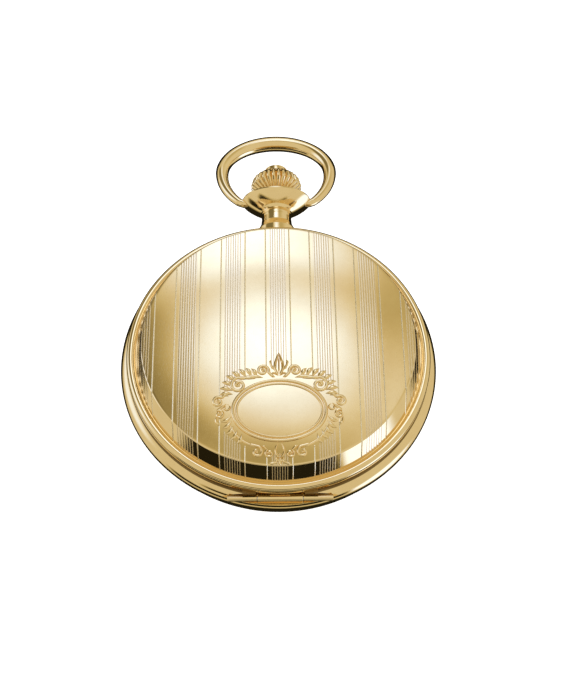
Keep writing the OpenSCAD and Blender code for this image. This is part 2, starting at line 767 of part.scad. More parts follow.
module hairspring() color(blued) at(balance_p, 3.84) linear_extrude(0.14)
    polygon(spiral(0.45, 2.9, hair_turns, 0.06, 36 * hair_turns));

module regulator() color(steel) at(balance_p, 2.95) difference() {
    union() {
        cylinder(h = 0.24, r = 1.1);
        linear_extrude(0.24) polygon([[-0.35, 0.8], [0.35, 0.8], [0.12, 4.2], [-0.12, 4.2]]);
        linear_extrude(0.24) polygon([[-0.3, -0.8], [-0.2, -2.4], [0.2, -2.4], [0.3, -0.8]]);
    }
    translate([0, 0, -1]) cylinder(h = 3, r = 0.65);
}

// ---------- keyless works ----------

module winding_pinion() color(steel) difference() {
    union() {
        on_stem(9) linear_extrude(0.9) polygon(gear_points(16, 0.25));
        on_stem(9.9) cylinder(h = 1.2, r = 1.5);
    }
    on_stem(8) cylinder(h = 4, r = 0.68);
}

module sliding_pinion() color(steel) difference() {
    on_stem(7.9) cylinder(h = 1.05, r = 1.05);
    on_stem(7) cylinder(h = 3, r = 0.62);
    difference() {
        on_stem(8.1) cylinder(h = 0.65, r = 2);
        on_stem(7.5) cylinder(h = 2, r = 0.8);
    }
}

module setting_lever() color(steel) {
    translate([0, 0, 7.45]) linear_extrude(0.3) hull() {
        disc(lever_p, 0.8);
        disc([0, 14.3], 0.35);
    }
    post([0, 14.3], 6.05, 7.5, 0.16);
    post(lever_p, 6.6, 7.46, 0.3);
}

// Curved lever whose finger sits in the sliding pinion's groove
module yoke() color(steel) {
    translate([0, 0, 7.45]) linear_extrude(0.3)
        polygon([[-5.3, 13.6], [-4.9, 10.2], [-3.6, 8.25], [-0.2, 8.25], [-0.2, 8.58], [-3.3, 8.62],
            [-4.3, 10.3], [-4, 13.6], [-4.4, 14.1], [-5, 14]]);
    post([-0.4, 8.42], 6.5, 7.5, 0.13);
    post(yoke_p, 6.6, 7.46, 0.3);
}

case_middle();
back_cover();
bezel();
crystal();
lid();
lid_hinge_knuckles();
case_hinge_knuckle();
hinge_pin();
lid_lift_spring();
lid_catch();
catch_screws();
pendant();
crown_tube();
bow();
crown();
winding_stem();
movement_ring();
case_clamps();
case_screws();
dial();
hour_hand();
minute_hand();
second_hand();
main_plate();
barrel_bridge();
train_bridge();
balance_cock();
pallet_cock();
bridge_screws();
plate_jewels();
bridge_jewels();
mainspring_barrel();
barrel_cover();
mainspring();
barrel_arbor();
ratchet_wheel();
ratchet_screw();
crown_wheel();
crown_wheel_screw();
click();
click_spring();
centre_wheel();
third_wheel();
fourth_wheel();
escape_wheel();
pallet_fork();
balance_wheel();
balance_staff();
hairspring();
regulator();
winding_pinion();
sliding_pinion();
setting_lever();
yoke();
setting_wheel();
cannon_pinion();
minute_wheel();
hour_wheel();
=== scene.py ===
import math
import bmesh
import bpy
import numpy as np
from mathutils import Matrix, Vector


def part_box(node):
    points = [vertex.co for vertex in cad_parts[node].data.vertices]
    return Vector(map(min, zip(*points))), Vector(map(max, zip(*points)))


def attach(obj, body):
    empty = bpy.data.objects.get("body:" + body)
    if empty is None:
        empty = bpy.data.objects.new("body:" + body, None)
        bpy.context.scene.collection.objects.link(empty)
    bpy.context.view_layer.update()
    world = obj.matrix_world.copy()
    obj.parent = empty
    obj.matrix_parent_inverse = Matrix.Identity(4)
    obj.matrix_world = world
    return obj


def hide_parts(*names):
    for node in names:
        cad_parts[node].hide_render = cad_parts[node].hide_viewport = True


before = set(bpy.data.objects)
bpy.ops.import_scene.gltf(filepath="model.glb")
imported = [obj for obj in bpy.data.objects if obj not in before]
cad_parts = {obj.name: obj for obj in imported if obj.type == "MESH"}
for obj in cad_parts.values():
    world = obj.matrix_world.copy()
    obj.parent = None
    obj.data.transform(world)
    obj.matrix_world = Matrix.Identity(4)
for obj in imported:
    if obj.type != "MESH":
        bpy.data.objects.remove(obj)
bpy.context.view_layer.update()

MM = 0.001


def box_mm(node):
    """Lowest and highest corner of a CAD part, in mm."""
    low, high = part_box(node)
    return low * 1000, high * 1000


# ---------------------------------------------------------------- sizes from the frame, mm

case_lo, case_hi = box_mm("case_middle")
lid_hi = box_mm("lid")[1]
pin_lo, pin_hi = box_mm("hinge_pin")
tube_lo, tube_hi = box_mm("lid_hinge_knuckles")
mid_tube_lo, mid_tube_hi = box_mm("case_hinge_knuckle")
pend_lo, pend_hi = box_mm("pendant")
crown_lo, crown_hi = box_mm("crown")
bow_lo, bow_hi = box_mm("bow")
crystal_lo, crystal_hi = box_mm("crystal")
BEZEL_Z = box_mm("bezel")[0].z
DIAL_TOP = box_mm("dial")[1].z

BAND_R = case_hi.x
MID_Z = (case_lo.z + case_hi.z) / 2
LID_Z = case_hi.z
BACK_Z = case_lo.z
LIP_R = lid_hi.x
BEAD_R = 0.68                # rolled edge of the lid
SHOULDER_R = LIP_R - 2.5     # where the lid's flank meets its dome
SHOULDER_Z = LID_Z + 4.15
APEX_Z = SHOULDER_Z + 1.2
SHELL = 0.5                  # wall of the lid
HINGE_Y = (pin_lo.y + pin_hi.y) / 2
HINGE_Z = (pin_lo.z + pin_hi.z) / 2
TUBE_R = HINGE_Y - tube_lo.y
COLLAR_R = pend_hi.x
COLLAR_FLAT = (pend_hi.z - pend_lo.z) / 2 / COLLAR_R
COLLAR_Y = 30.4              # widest ring of the collar, and the bow's pivot
CUP_Y = 31.2                 # back of the collar, where the crown sits
OVAL_Y = -11.9               # centre of the plain oval on the lid
ENGRAVED_R = LIP_R - 1.3     # the lid's engraving and relief stay inside this
SUB = (0.0, -8.8)            # centre of the small seconds


# ---------------------------------------------------------------- node helpers

class Nodes:
    """Small wrapper that adds and links shader nodes."""

    def __init__(self, tree):
        self.tree = tree
        tree.nodes.clear()

    def new(self, kind, **sockets):
        node = self.tree.nodes.new(kind)
        for key, value in sockets.items():
            self.set(node, key, value)
        return node

    def set(self, node, key, value):
        """Sets or links an input, named by its label (Base_Color) or its place (i0)."""
        numbered = key[0] == "i" and key[1:].isdigit()
        socket = node.inputs[int(key[1:]) if numbered else key.replace("_", " ")]
        if isinstance(value, bpy.types.NodeSocket):
            self.tree.links.new(value, socket)
        else:
            socket.default_value = value

    def math(self, op, a, b=0.0, c=0.0):
        node = self.new("ShaderNodeMath", i0=a, i1=b, i2=c)
        node.operation = op
        return node.outputs[0]

    def ramp(self, value, low, high):
        """0 at low, 1 at high, with a smooth step between."""
        node = self.new("ShaderNodeMapRange", i0=value, i1=low, i2=high)
        node.interpolation_type = "SMOOTHSTEP"
        return node.outputs[0]

    def mix(self, factor, a, b):
        node = self.new("ShaderNodeMix")
        node.data_type = "RGBA"
        self.set(node, "i0", factor)
        self.set(node, "i6", a)
        self.set(node, "i7", b)
        return node.outputs[2]

    def coords(self, stretch=(1, 1, 1)):
        """The piece's own coordinates in mm, stretched for graining."""
        coord = self.new("ShaderNodeTexCoord").outputs["Object"]
        mapping = self.new("ShaderNodeMapping", Vector=coord)
        mapping.inputs["Scale"].default_value = [1000 * s for s in stretch]
        return mapping.outputs[0]

    def noise(self, vector, scale, detail=3.0, rough=0.5):
        node = self.new("ShaderNodeTexNoise", Vector=vector, Scale=scale, Detail=detail,
            Roughness=rough)
        return node.outputs["Fac"]

    def split(self, vector):
        return self.new("ShaderNodeSeparateXYZ", Vector=vector).outputs


def rgba(r, g, b):
    return (r, g, b, 1.0)


def material(name):
    mat = bpy.data.materials.new(name)
    mat.use_nodes = True
    return mat, Nodes(mat.node_tree)


def finish_shader(n, color, rough, height, metallic=1.0, **values):
    """Ends a material: colour, roughness and bump from sockets, the rest uniform."""
    shader = n.new("ShaderNodeBsdfPrincipled", Base_Color=color, Roughness=rough)
    shader.inputs["Metallic"].default_value = metallic
    for key, value in values.items():
        shader.inputs[key.replace("_", " ")].default_value = value
    bump = n.new("ShaderNodeBump", Height=height)
    bump.inputs["Strength"].default_value = 1.0
    bump.inputs["Distance"].default_value = 0.001
    n.set(shader, "Normal", bump.outputs[0])
    n.new("ShaderNodeOutputMaterial", Surface=shader.outputs[0])


GOLD_LIGHT = rgba(0.90, 0.70, 0.37)
GOLD_DEEP = rgba(0.85, 0.64, 0.325)


def polish(n, grain=(1, 1, 1), base=0.07, wear=0.05, scratch=0.0012):
    """Colour, roughness and height of worn polished metal, as sockets."""
    plain = n.coords()
    cloud = n.noise(plain, 0.16, 4.0)
    smear = n.noise(plain, 0.9, 5.0, 0.6)
    hair = n.noise(n.coords(grain), 3.1, 2.0, 0.5)
    pits = n.noise(plain, 9.0, 2.0)
    tint = n.math("MULTIPLY_ADD", cloud, 0.7, n.math("MULTIPLY", smear, 0.3))
    spots = n.ramp(smear, 0.5, 0.72)
    rough = n.math("MULTIPLY_ADD", spots, wear, base)
    rough = n.math("MULTIPLY_ADD", n.ramp(hair, 0.55, 0.8), wear * 0.6, rough)
    height = n.math("MULTIPLY", n.ramp(hair, 0.56, 0.74), -scratch)
    height = n.math("MULTIPLY_ADD", pits, scratch * 0.25, height)
    return tint, rough, height


def gold(name, light=GOLD_LIGHT, deep=GOLD_DEEP, grain=(1, 1, 1), **kind):
    mat, n = material(name)
    tint, rough, height = polish(n, grain, **kind)
    color = n.mix(n.ramp(tint, 0.3, 0.7), deep, light)
    finish_shader(n, color, rough, height)
    return mat


# Engraved bands on the lid, mm
BAND_PERIOD = 6.75       # from one band's middle to the next
BAND_HALF = 1.82         # from a band's middle to its raised border
LINE_PITCH = 0.36        # between the fine lines
LINES_HALF = LINE_PITCH * 3.5
PLAIN_OVAL = (9.0, 6.7)  # half width and height of the area left for the cartouche


def engraved_gold():
    """The lid's top: polished gold with engraved bands of fine lines around a plain cartouche."""
    mat, n = material("gold_engraved")
    tint, rough, height = polish(n, (6, 0.5, 1), base=0.06, wear=0.02, scratch=0.0006)
    x, y = n.split(n.coords())[0:2]
    shifted = n.math("FLOORED_MODULO", n.math("ADD", x, BAND_PERIOD / 2), BAND_PERIOD)
    across = n.math("SUBTRACT", shifted, BAND_PERIOD / 2)
    u = n.math("ABSOLUTE", across)
    wave = n.math("COSINE", n.math("MULTIPLY", across, 2 * math.pi / LINE_PITCH))
    fine = n.ramp(u, LINES_HALF + 0.03, LINES_HALF - 0.03)
    border = n.ramp(n.math("ABSOLUTE", n.math("SUBTRACT", u, BAND_HALF)), 0.1, 0.0)
    # the bands stop at the cartouche and short of the rolled edge
    ex = n.math("POWER", n.math("DIVIDE", x, PLAIN_OVAL[0]), 2.0)
    ey = n.math("POWER", n.math("DIVIDE", n.math("SUBTRACT", y, OVAL_Y), PLAIN_OVAL[1]), 2.0)
    outside = n.ramp(n.math("ADD", ex, ey), 0.94, 1.04)
    radius = n.math("SQRT", n.math("ADD", n.math("MULTIPLY", x, x), n.math("MULTIPLY", y, y)))
    inside = n.ramp(radius, ENGRAVED_R, ENGRAVED_R - 0.12)
    mask = n.math("MULTIPLY", outside, inside)
    fine = n.math("MULTIPLY", fine, mask)
    border = n.math("MULTIPLY", border, mask)
    fine_h = n.math("MULTIPLY", n.math("MULTIPLY", wave, 0.002), fine)
    total = n.math("ADD", height, fine_h)
    total = n.math("MULTIPLY_ADD", border, 0.045, total)
    lines = n.math("MULTIPLY", n.ramp(wave, 0.1, 0.8), fine)
    rough = n.math("MULTIPLY_ADD", lines, 0.38, rough)
    rough = n.math("MULTIPLY_ADD", border, 0.4, rough)
    color = n.mix(n.ramp(tint, 0.3, 0.7), GOLD_DEEP, GOLD_LIGHT)
    color = n.mix(n.math("MULTIPLY", fine, 0.5), color, rgba(0.84, 0.68, 0.44))
    color = n.mix(n.math("MULTIPLY", lines, 0.35), color, rgba(0.62, 0.47, 0.27))
    color = n.mix(border, color, rgba(0.97, 0.86, 0.62))
    finish_shader(n, color, rough, total)
    return mat


def brushed(name, light, deep, base=0.22, scratch=0.002, stretch=(0.3, 12, 12)):
    """Machined metal with straight graining."""
    mat, n = material(name)
    grain = n.noise(n.coords(stretch), 1.6, 3.0, 0.6)
    cloud = n.noise(n.coords(), 0.7, 3.0)
    color = n.mix(n.math("MULTIPLY_ADD", grain, 0.6, n.math("MULTIPLY", cloud, 0.4)), deep, light)
    rough = n.math("MULTIPLY_ADD", grain, 0.16, base)
    finish_shader(n, color, rough, n.math("MULTIPLY", grain, scratch))
    return mat


def perlage():
    """Gilt plate with rows of overlapping polished circles."""
    mat, n = material("gilt_perlage")
    plain = n.coords()
    cells = n.new("ShaderNodeTexVoronoi", Vector=plain, Scale=0.75, Randomness=0.15)
    rings = n.math("SINE", n.math("MULTIPLY", cells.outputs["Distance"], 60.0))
    cloud = n.noise(plain, 0.5, 3.0)
    color = n.mix(cloud, rgba(0.66, 0.46, 0.2), rgba(0.85, 0.64, 0.32))
    rough = n.math("MULTIPLY_ADD", rings, 0.05, 0.24)
    finish_shader(n, color, rough, n.math("MULTIPLY", rings, 0.004))
    return mat


def blued_steel():
    mat, n = material("blued_steel")
    heat = n.noise(n.coords(), 0.6, 3.0)
    hair = n.noise(n.coords((8, 1, 1)), 2.5, 2.0)
    color = n.mix(heat, rgba(0.03, 0.06, 0.3), rgba(0.1, 0.12, 0.42))
    rough = n.math("MULTIPLY_ADD", hair, 0.1, 0.14)
    finish_shader(n, color, rough, n.math("MULTIPLY", hair, 0.001))
    return mat


def ruby():
    mat, n = material("ruby")
    cloud = n.noise(n.coords(), 2.0, 3.0)
    color = n.mix(cloud, rgba(0.45, 0.01, 0.06), rgba(0.75, 0.04, 0.16))
    rough = n.math("MULTIPLY_ADD", cloud, 0.06, 0.05)
    finish_shader(n, color, rough, n.math("MULTIPLY", cloud, 0.0008), metallic=0.0, IOR=1.76)
    return mat


def enamel():
    mat, n = material("dial_enamel")
    cloud = n.noise(n.coords(), 0.25, 4.0)
    ripple = n.noise(n.coords(), 1.2, 3.0)
    color = n.mix(cloud, rgba(0.83, 0.81, 0.74), rgba(0.93, 0.92, 0.88))
    rough = n.math("MULTIPLY_ADD", ripple, 0.1, 0.1)
    finish_shader(n, color, rough, n.math("MULTIPLY", ripple, 0.004), metallic=0.0,
        Coat_Weight=0.5, Coat_Roughness=0.04)
    return mat


def dial_ink():
    mat, n = material("dial_ink")
    speck = n.noise(n.coords(), 6.0, 3.0)
    color = n.mix(speck, rgba(0.008, 0.009, 0.014), rgba(0.035, 0.035, 0.045))
    rough = n.math("MULTIPLY_ADD", speck, 0.2, 0.3)
    finish_shader(n, color, rough, n.math("MULTIPLY", speck, 0.002), metallic=0.0)
    return mat


def glass():
    mat, n = material("crystal_glass")
    wave = n.noise(n.coords(), 0.12, 2.0)
    dust = n.noise(n.coords(), 4.0, 4.0)
    color = n.mix(wave, rgba(0.97, 0.99, 0.98), rgba(1.0, 1.0, 1.0))
    rough = n.math("MULTIPLY", n.ramp(dust, 0.62, 0.85), 0.08)
    finish_shader(n, color, rough, n.math("MULTIPLY", wave, 0.004), metallic=0.0, IOR=1.5,
        Transmission_Weight=1.0)
    return mat


GOLD = gold("gold_polished", grain=(6, 0.6, 1))
GOLD_LID = engraved_gold()
GOLD_CROWN = gold("gold_crown", grain=(1, 0.4, 1), base=0.11, wear=0.09, scratch=0.002)
GOLD_RELIEF = gold("gold_relief", base=0.1, wear=0.06)
GOLD_INNER = gold("gold_lid_inside", grain=(1.5, 1.5, 1), base=0.12, wear=0.08)
# near-black gold that paints shade into the gap between lid and band and onto the lid's hinge arms
GOLD_PAINTED_SHADE = gold("gold_painted_shade", rgba(0.30, 0.20, 0.08), rgba(0.22, 0.14, 0.05), base=0.35,
    wear=0.1)
GILT = perlage()
GILT_WHEEL = brushed("gilt_wheel", rgba(0.84, 0.63, 0.32), rgba(0.62, 0.43, 0.18),
    stretch=(6, 6, 6))
STEEL = brushed("steel_grained", rgba(0.72, 0.72, 0.74), rgba(0.5, 0.5, 0.53))
BLUED = blued_steel()
RUBY = ruby()
ENAMEL = enamel()
INK = dial_ink()
GLASS = glass()


# ---------------------------------------------------------------- mesh helpers

def mesh_mm(name, verts, faces):
    mesh = bpy.data.meshes.new(name)
    mesh.from_pydata([tuple(c * MM for c in v) for v in verts], [], faces)
    return mesh


def evaluated(obj):
    """The object's mesh with its modifiers or its curve worked out."""
    return bpy.data.meshes.new_from_object(obj.evaluated_get(
        bpy.context.evaluated_depsgraph_get()))


def add_mesh(name, verts, faces, mats, body, stands_for=(), sharp=32, pick=None):
    """A closed mesh from points in mm, riding on a body of the frame."""
    mesh = mesh_mm(name, verts, faces)
    mats = mats if isinstance(mats, list) else [mats]
    for mat in mats:
        mesh.materials.append(mat)
    if pick is not None:
        mesh.polygons.foreach_set("material_index", pick)
    work = bmesh.new()
    work.from_mesh(mesh)
    bmesh.ops.recalc_face_normals(work, faces=work.faces)
    work.to_mesh(mesh)
    work.free()
    mesh.shade_smooth()
    mesh.set_sharp_from_angle(angle=math.radians(sharp))
    obj = bpy.data.objects.new(name, mesh)
    bpy.context.scene.collection.objects.link(obj)
    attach(obj, body)
    if stands_for:
        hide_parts(*stands_for)
    return obj


class Shape:
    """Collects several closed shapes into one mesh."""

    def __init__(self):
        self.verts, self.faces, self.pick = [], [], []

    def add(self, verts, faces, index=0):
        base = len(self.verts)
        self.verts += [tuple(v) for v in verts]
        self.faces += [tuple(i + base for i in f) for f in faces]
        self.pick += [index] * len(faces)

    def build(self, name, mats, body, slot, stands_for=(), sharp=32):
        add_mesh(name, self.verts, self.faces, mats, body, stands_for, sharp, self.pick)


def rounded(points, steps=6):
    """Outline with rounded corners: each point is (a, b) or (a, b, radius)."""
    out = []
    for i, point in enumerate(points):
        p = np.array(point[:2], float)
        r = point[2] if len(point) > 2 else 0
        if r <= 0:
            out.append(tuple(p))
            continue
        a = np.array(points[i - 1][:2]) - p
        b = np.array(points[(i + 1) % len(points)][:2]) - p
        la, lb = np.linalg.norm(a), np.linalg.norm(b)
        a, b = a / la, b / lb
        half = math.acos(max(-1, min(1, float(a @ b)))) / 2
        t = min(r / math.tan(half), 0.49 * la, 0.49 * lb)
        for k in range(steps + 1):
            s = k / steps
            out.append(tuple(p + a * t * (1 - s) ** 2 + b * t * s ** 2))
    return out


def arc(cx, cy, r, a0, a1, steps):
    angles = [math.radians(a0 + (a1 - a0) * i / steps) for i in range(steps + 1)]
    return [(cx + r * math.cos(a), cy + r * math.sin(a)) for a in angles]


# Where a turned body's point (radius, height, angle) goes

def upright(r, h, a):
    return r * math.cos(a), r * math.sin(a), h


def around(cx, cy):
    return lambda r, h, a: (cx + r * math.cos(a), cy + r * math.sin(a), h)


def on_stem(r, h, a):
    return r * math.cos(a), h, MID_Z + r * math.sin(a)


def revolve(profile, seg=256, place=upright, closed=True, radius=None):
    """Turned body: points, faces and the profile step each face belongs to.

    Points on the axis become poles; radius(i, a, r) may shape each ring."""
    verts, rings = [], []
    for i, (r, h) in enumerate(profile):
        if r < 1e-6:
            rings.append([len(verts)])
            verts.append(place(0, h, 0))
            continue
        rings.append(list(range(len(verts), len(verts) + seg)))
        for k in range(seg):
            a = 2 * math.pi * k / seg
            verts.append(place(radius(i, a, r) if radius else r, h, a))
    faces, owner = [], []
    for i in range(len(rings) if closed else len(rings) - 1):
        a, b = rings[i], rings[(i + 1) % len(rings)]
        if len(a) == 1 and len(b) == 1:
            continue
        for k in range(seg):
            j = (k + 1) % seg
            quad = [a[0], b[j], b[k]] if len(a) == 1 else (
                [a[k], a[j], b[0]] if len(b) == 1 else [a[k], a[j], b[j], b[k]])
            faces.append(quad)
            owner.append(i)
    return verts, faces, owner


def turned(name, profile, mats, body, stands_for=(), seg=256, place=upright, closed=True,
        pick=None):
    """A piece made by turning; pick gives the material's index for a profile step."""
    verts, faces, owner = revolve(profile, seg, place, closed)
    picks = [pick(i) for i in owner] if pick else None
    return add_mesh(name, verts, faces, mats, body, stands_for, pick=picks)


def cuboid(x0, x1, y0, y1, z0, z1):
    verts = [(x, y, z) for x in (x0, x1) for y in (y0, y1) for z in (z0, z1)]
    return verts, [(0, 1, 3, 2), (4, 6, 7, 5), (0, 4, 5, 1), (2, 3, 7, 6), (0, 2, 6, 4),
        (1, 5, 7, 3)]


def cut(obj, *cutters):
    """Takes closed shapes away from obj's mesh."""
    for verts, faces in cutters:
        tool = bpy.data.objects.new("cutter", mesh_mm("cutter", verts, faces))
        bpy.context.scene.collection.objects.link(tool)
        mod = obj.modifiers.new("cut", "BOOLEAN")
        mod.object, mod.operation, mod.solver = tool, "DIFFERENCE", "EXACT"
        bpy.context.view_layer.update()
        made = evaluated(obj)
        obj.modifiers.clear()
        obj.data = made
        bpy.data.objects.remove(tool)
    obj.data.shade_smooth()
    obj.data.set_sharp_from_angle(angle=math.radians(32))


def grid_faces(rows, ring):
    """Quads of a closed tube made of rows of ring points each."""
    return [(i * ring + k, i * ring + (k + 1) % ring, (i + 1) * ring + (k + 1) % ring,
        (i + 1) * ring + k) for i in range(rows - 1) for k in range(ring)]


def capped_faces(rows, ring):
    """The same, closed at both ends."""
    return grid_faces(rows, ring) + [tuple(range(ring)),
        tuple((rows - 1) * ring + k for k in range(ring))]


def sweep(path, radii, seg):
    """Round bar along 3D points; radii gives its radius at each point."""
    path = [Vector(p) for p in path]
    verts = []
    side = Vector((0, 0, 1))
    for i, p in enumerate(path):
        along = (path[min(i + 1, len(path) - 1)] - path[max(i - 1, 0)]).normalized()
        side = (side - along * side.dot(along)).normalized()
        other = along.cross(side)
        for k in range(seg):
            a = 2 * math.pi * k / seg
            verts.append(tuple(p + (other * math.cos(a) + side * math.sin(a)) * radii[i]))
    return verts, capped_faces(len(path), seg)


def flat_plate(loops, z0, z1, bevel=0.0):
    """Plate with a 2D outline and holes; returns points and faces in mm."""
    curve = bpy.data.curves.new("plate", "CURVE")
    curve.dimensions, curve.fill_mode = "2D", "BOTH"
    curve.extrude = (z1 - z0) / 2 - bevel
    curve.bevel_depth, curve.bevel_resolution = bevel, 2
    curve.offset = -bevel
    for loop in loops:
        spline = curve.splines.new("POLY")
        spline.points.add(len(loop) - 1)
        for i, (x, y) in enumerate(loop):
            spline.points[i].co = (x, y, 0, 1)
        spline.use_cyclic_u = True
    obj = bpy.data.objects.new("plate", curve)
    bpy.context.scene.collection.objects.link(obj)
    bpy.context.view_layer.update()
    work = bmesh.new()
    work.from_mesh(evaluated(obj))
    bmesh.ops.remove_doubles(work, verts=work.verts, dist=1e-5)
    verts = [(v.co.x, v.co.y, v.co.z + (z0 + z1) / 2) for v in work.verts]
    work.verts.index_update()
    faces = [tuple(v.index for v in f.verts) for f in work.faces]
    work.free()
    bpy.data.objects.remove(obj)
    return verts, faces


def smooth_path(points, n=10):
    """Catmull-Rom curve through 2D points."""
    pts = [np.array(p, float) for p in points]
    pts = [2 * pts[0] - pts[1]] + pts + [2 * pts[-1] - pts[-2]]
    out = []
    for i in range(1, len(pts) - 2):
        p0, p1, p2, p3 = pts[i - 1:i + 3]
        for k in range(n):
            t = k / n
            out.append(0.5 * (2 * p1 + (p2 - p0) * t + (2 * p0 - 5 * p1 + 4 * p2 - p3) * t ** 2
                + (3 * p1 - p0 - 3 * p2 + p3) * t ** 3))
    out.append(pts[-2])
    return out


# ---------------------------------------------------------------- lid

def dome_z(r):
    rise = APEX_Z - SHOULDER_Z
    big = (SHOULDER_R ** 2 + rise ** 2) / (2 * rise)
    return APEX_Z - big + math.sqrt(big * big - r * r)


def lid_outline():
    """Outside of the lid from its middle to the rolled edge."""
    dome = [(SHOULDER_R * i / 48, dome_z(SHOULDER_R * i / 48)) for i in range(48)]
    edge = rounded([(SHOULDER_R - 1, dome_z(SHOULDER_R - 1)), (SHOULDER_R, SHOULDER_Z, 0.3),
        (LIP_R - 1.24, LID_Z + 1.2, 0.04), (LIP_R - 1.18, LID_Z + 1.14)], 8)[1:]
    bead = arc(LIP_R - BEAD_R, LID_Z + BEAD_R, BEAD_R, 137, 0, 22)
    foot = rounded([(LIP_R, LID_Z + BEAD_R), (LIP_R - 0.02, LID_Z, 0.16),
        (LIP_R - 1.2, LID_Z)])[1:-1]
    return dome + edge + bead + foot


LID_OUTER = lid_outline()
LID_TOP = [p for p in LID_OUTER if p[0] < ENGRAVED_R]
RELIEF_R, RELIEF_Z = zip(*LID_TOP)


def lid_surface(x, y):
    """Height of the lid's top at a point."""
    return float(np.interp(math.hypot(x, y), RELIEF_R, RELIEF_Z))


def make_lid():
    inner = rounded([(LIP_R - 1.2, LID_Z), (LIP_R - 1.4, LID_Z + 0.3, 0.1),
        (LIP_R - 1.95, LID_Z + 0.6, 0.1), (SHOULDER_R - 0.45, SHOULDER_Z - 0.5, 0.3),
        (SHOULDER_R - 1.5, dome_z(SHOULDER_R - 1.5) - SHELL)])[:-1]
    inner += [(SHOULDER_R * i / 24, dome_z(SHOULDER_R * i / 24) - SHELL)
        for i in range(22, -1, -1)]
    engraved, outside = len(LID_TOP), len(LID_OUTER)
    turned("lid_shell", LID_OUTER + inner, [GOLD_LID, GOLD, GOLD_INNER], "lid",
        ["lid"], seg=384, closed=False,
        pick=lambda i: 0 if i < engraved else (1 if i < outside else 2))


make_lid()


SINK = 0.02  # how far the ornament's edges and its underside go into the lid
KEEL = 0.12


class Relief:
    """Raised ornament that follows the lid's surface. Points are mm from the oval's centre."""

    def __init__(self):
        self.shape = Shape()

    def stroke(self, path, wide, high=0.15, tip=0.25, mirror=True):
        """Half-round ridge along a path, tapering at both ends."""
        path = [np.array(p, float) for p in path]
        wide, high = wide * 1.35, high * 1.4
        n = len(path)
        across = 7
        for side in ((1, -1) if mirror else (1,)):
            verts = []
            for i, p in enumerate(path):
                t = i / (n - 1)
                fade = min(1, (0.12 + t / tip)) * min(1, (0.12 + (1 - t) / tip))
                w = wide * fade / 2
                h = high * math.sqrt(fade)
                step = path[min(i + 1, n - 1)] - path[max(i - 1, 0)]
                step /= np.linalg.norm(step) + 1e-9
                out = np.array((-step[1], step[0]))
                for k in range(across):
                    a = math.pi * k / (across - 1)
                    q = p + out * w * math.cos(a)
                    x, y = side * q[0], q[1] + OVAL_Y
                    verts.append((x, y, lid_surface(x, y) + h * math.sin(a) - SINK))
                x, y = side * p[0], p[1] + OVAL_Y
                verts.append((x, y, lid_surface(x, y) - KEEL))
            self.shape.add(verts, capped_faces(n, across + 1))

    def oval(self, a, b, wide, high):
        """Half-round ring around the plain oval."""
        verts, faces = [], []
        seg, across = 160, 9
        for i in range(seg):
            t = 2 * math.pi * i / seg
            p = np.array((a * math.cos(t), b * math.sin(t)))
            out = np.array((math.cos(t) / a, math.sin(t) / b))
            out /= np.linalg.norm(out)
            for k in range(across):
                s = math.pi * k / (across - 1)
                x, y = p + out * wide / 2 * math.cos(s)
                y += OVAL_Y
                verts.append((x, y, lid_surface(x, y) + high * math.sin(s) - SINK))
            x, y = p
            verts.append((x, y + OVAL_Y, lid_surface(x, y + OVAL_Y) - KEEL))
        ring = across + 1
        for i in range(seg):
            for k in range(ring):
                j, m = (k + 1) % ring, (i + 1) % seg
                faces.append((i * ring + k, i * ring + j, m * ring + j, m * ring + k))
        self.shape.add(verts, faces)

    def bead(self, x, y, r, high):
        """Small round boss, on both sides."""
        seg, rows = 14, 5
        for side in (1, -1):
            verts = []
            for i in range(rows):
                a = 0.5 * math.pi * i / rows
                for k in range(seg):
                    b = 2 * math.pi * k / seg
                    px = side * x + r * math.cos(a) * math.cos(b)
                    py = y + OVAL_Y + r * math.cos(a) * math.sin(b)
                    verts.append((px, py, lid_surface(px, py) + high * math.sin(a) - 0.03))
            top = len(verts)
            px, py = side * x, y + OVAL_Y
            verts.append((px, py, lid_surface(px, py) + high))
            last = (rows - 1) * seg
            faces = grid_faces(rows, seg)
            faces += [(last + k, last + (k + 1) % seg, top) for k in range(seg)]
            faces.append(tuple(range(seg)))
            self.shape.add(verts, faces)


def curl(cx, cy, r, start, turn, shrink=0.2, n=30):
    """Points of a spiral that closes in on its centre."""
    out = []
    for i in range(n + 1):
        t = i / n
        a = math.radians(start + turn * t)
        q = r * (1 - (1 - shrink) * t ** 0.9)
        out.append((cx + q * math.cos(a), cy + q * math.sin(a)))
    return out


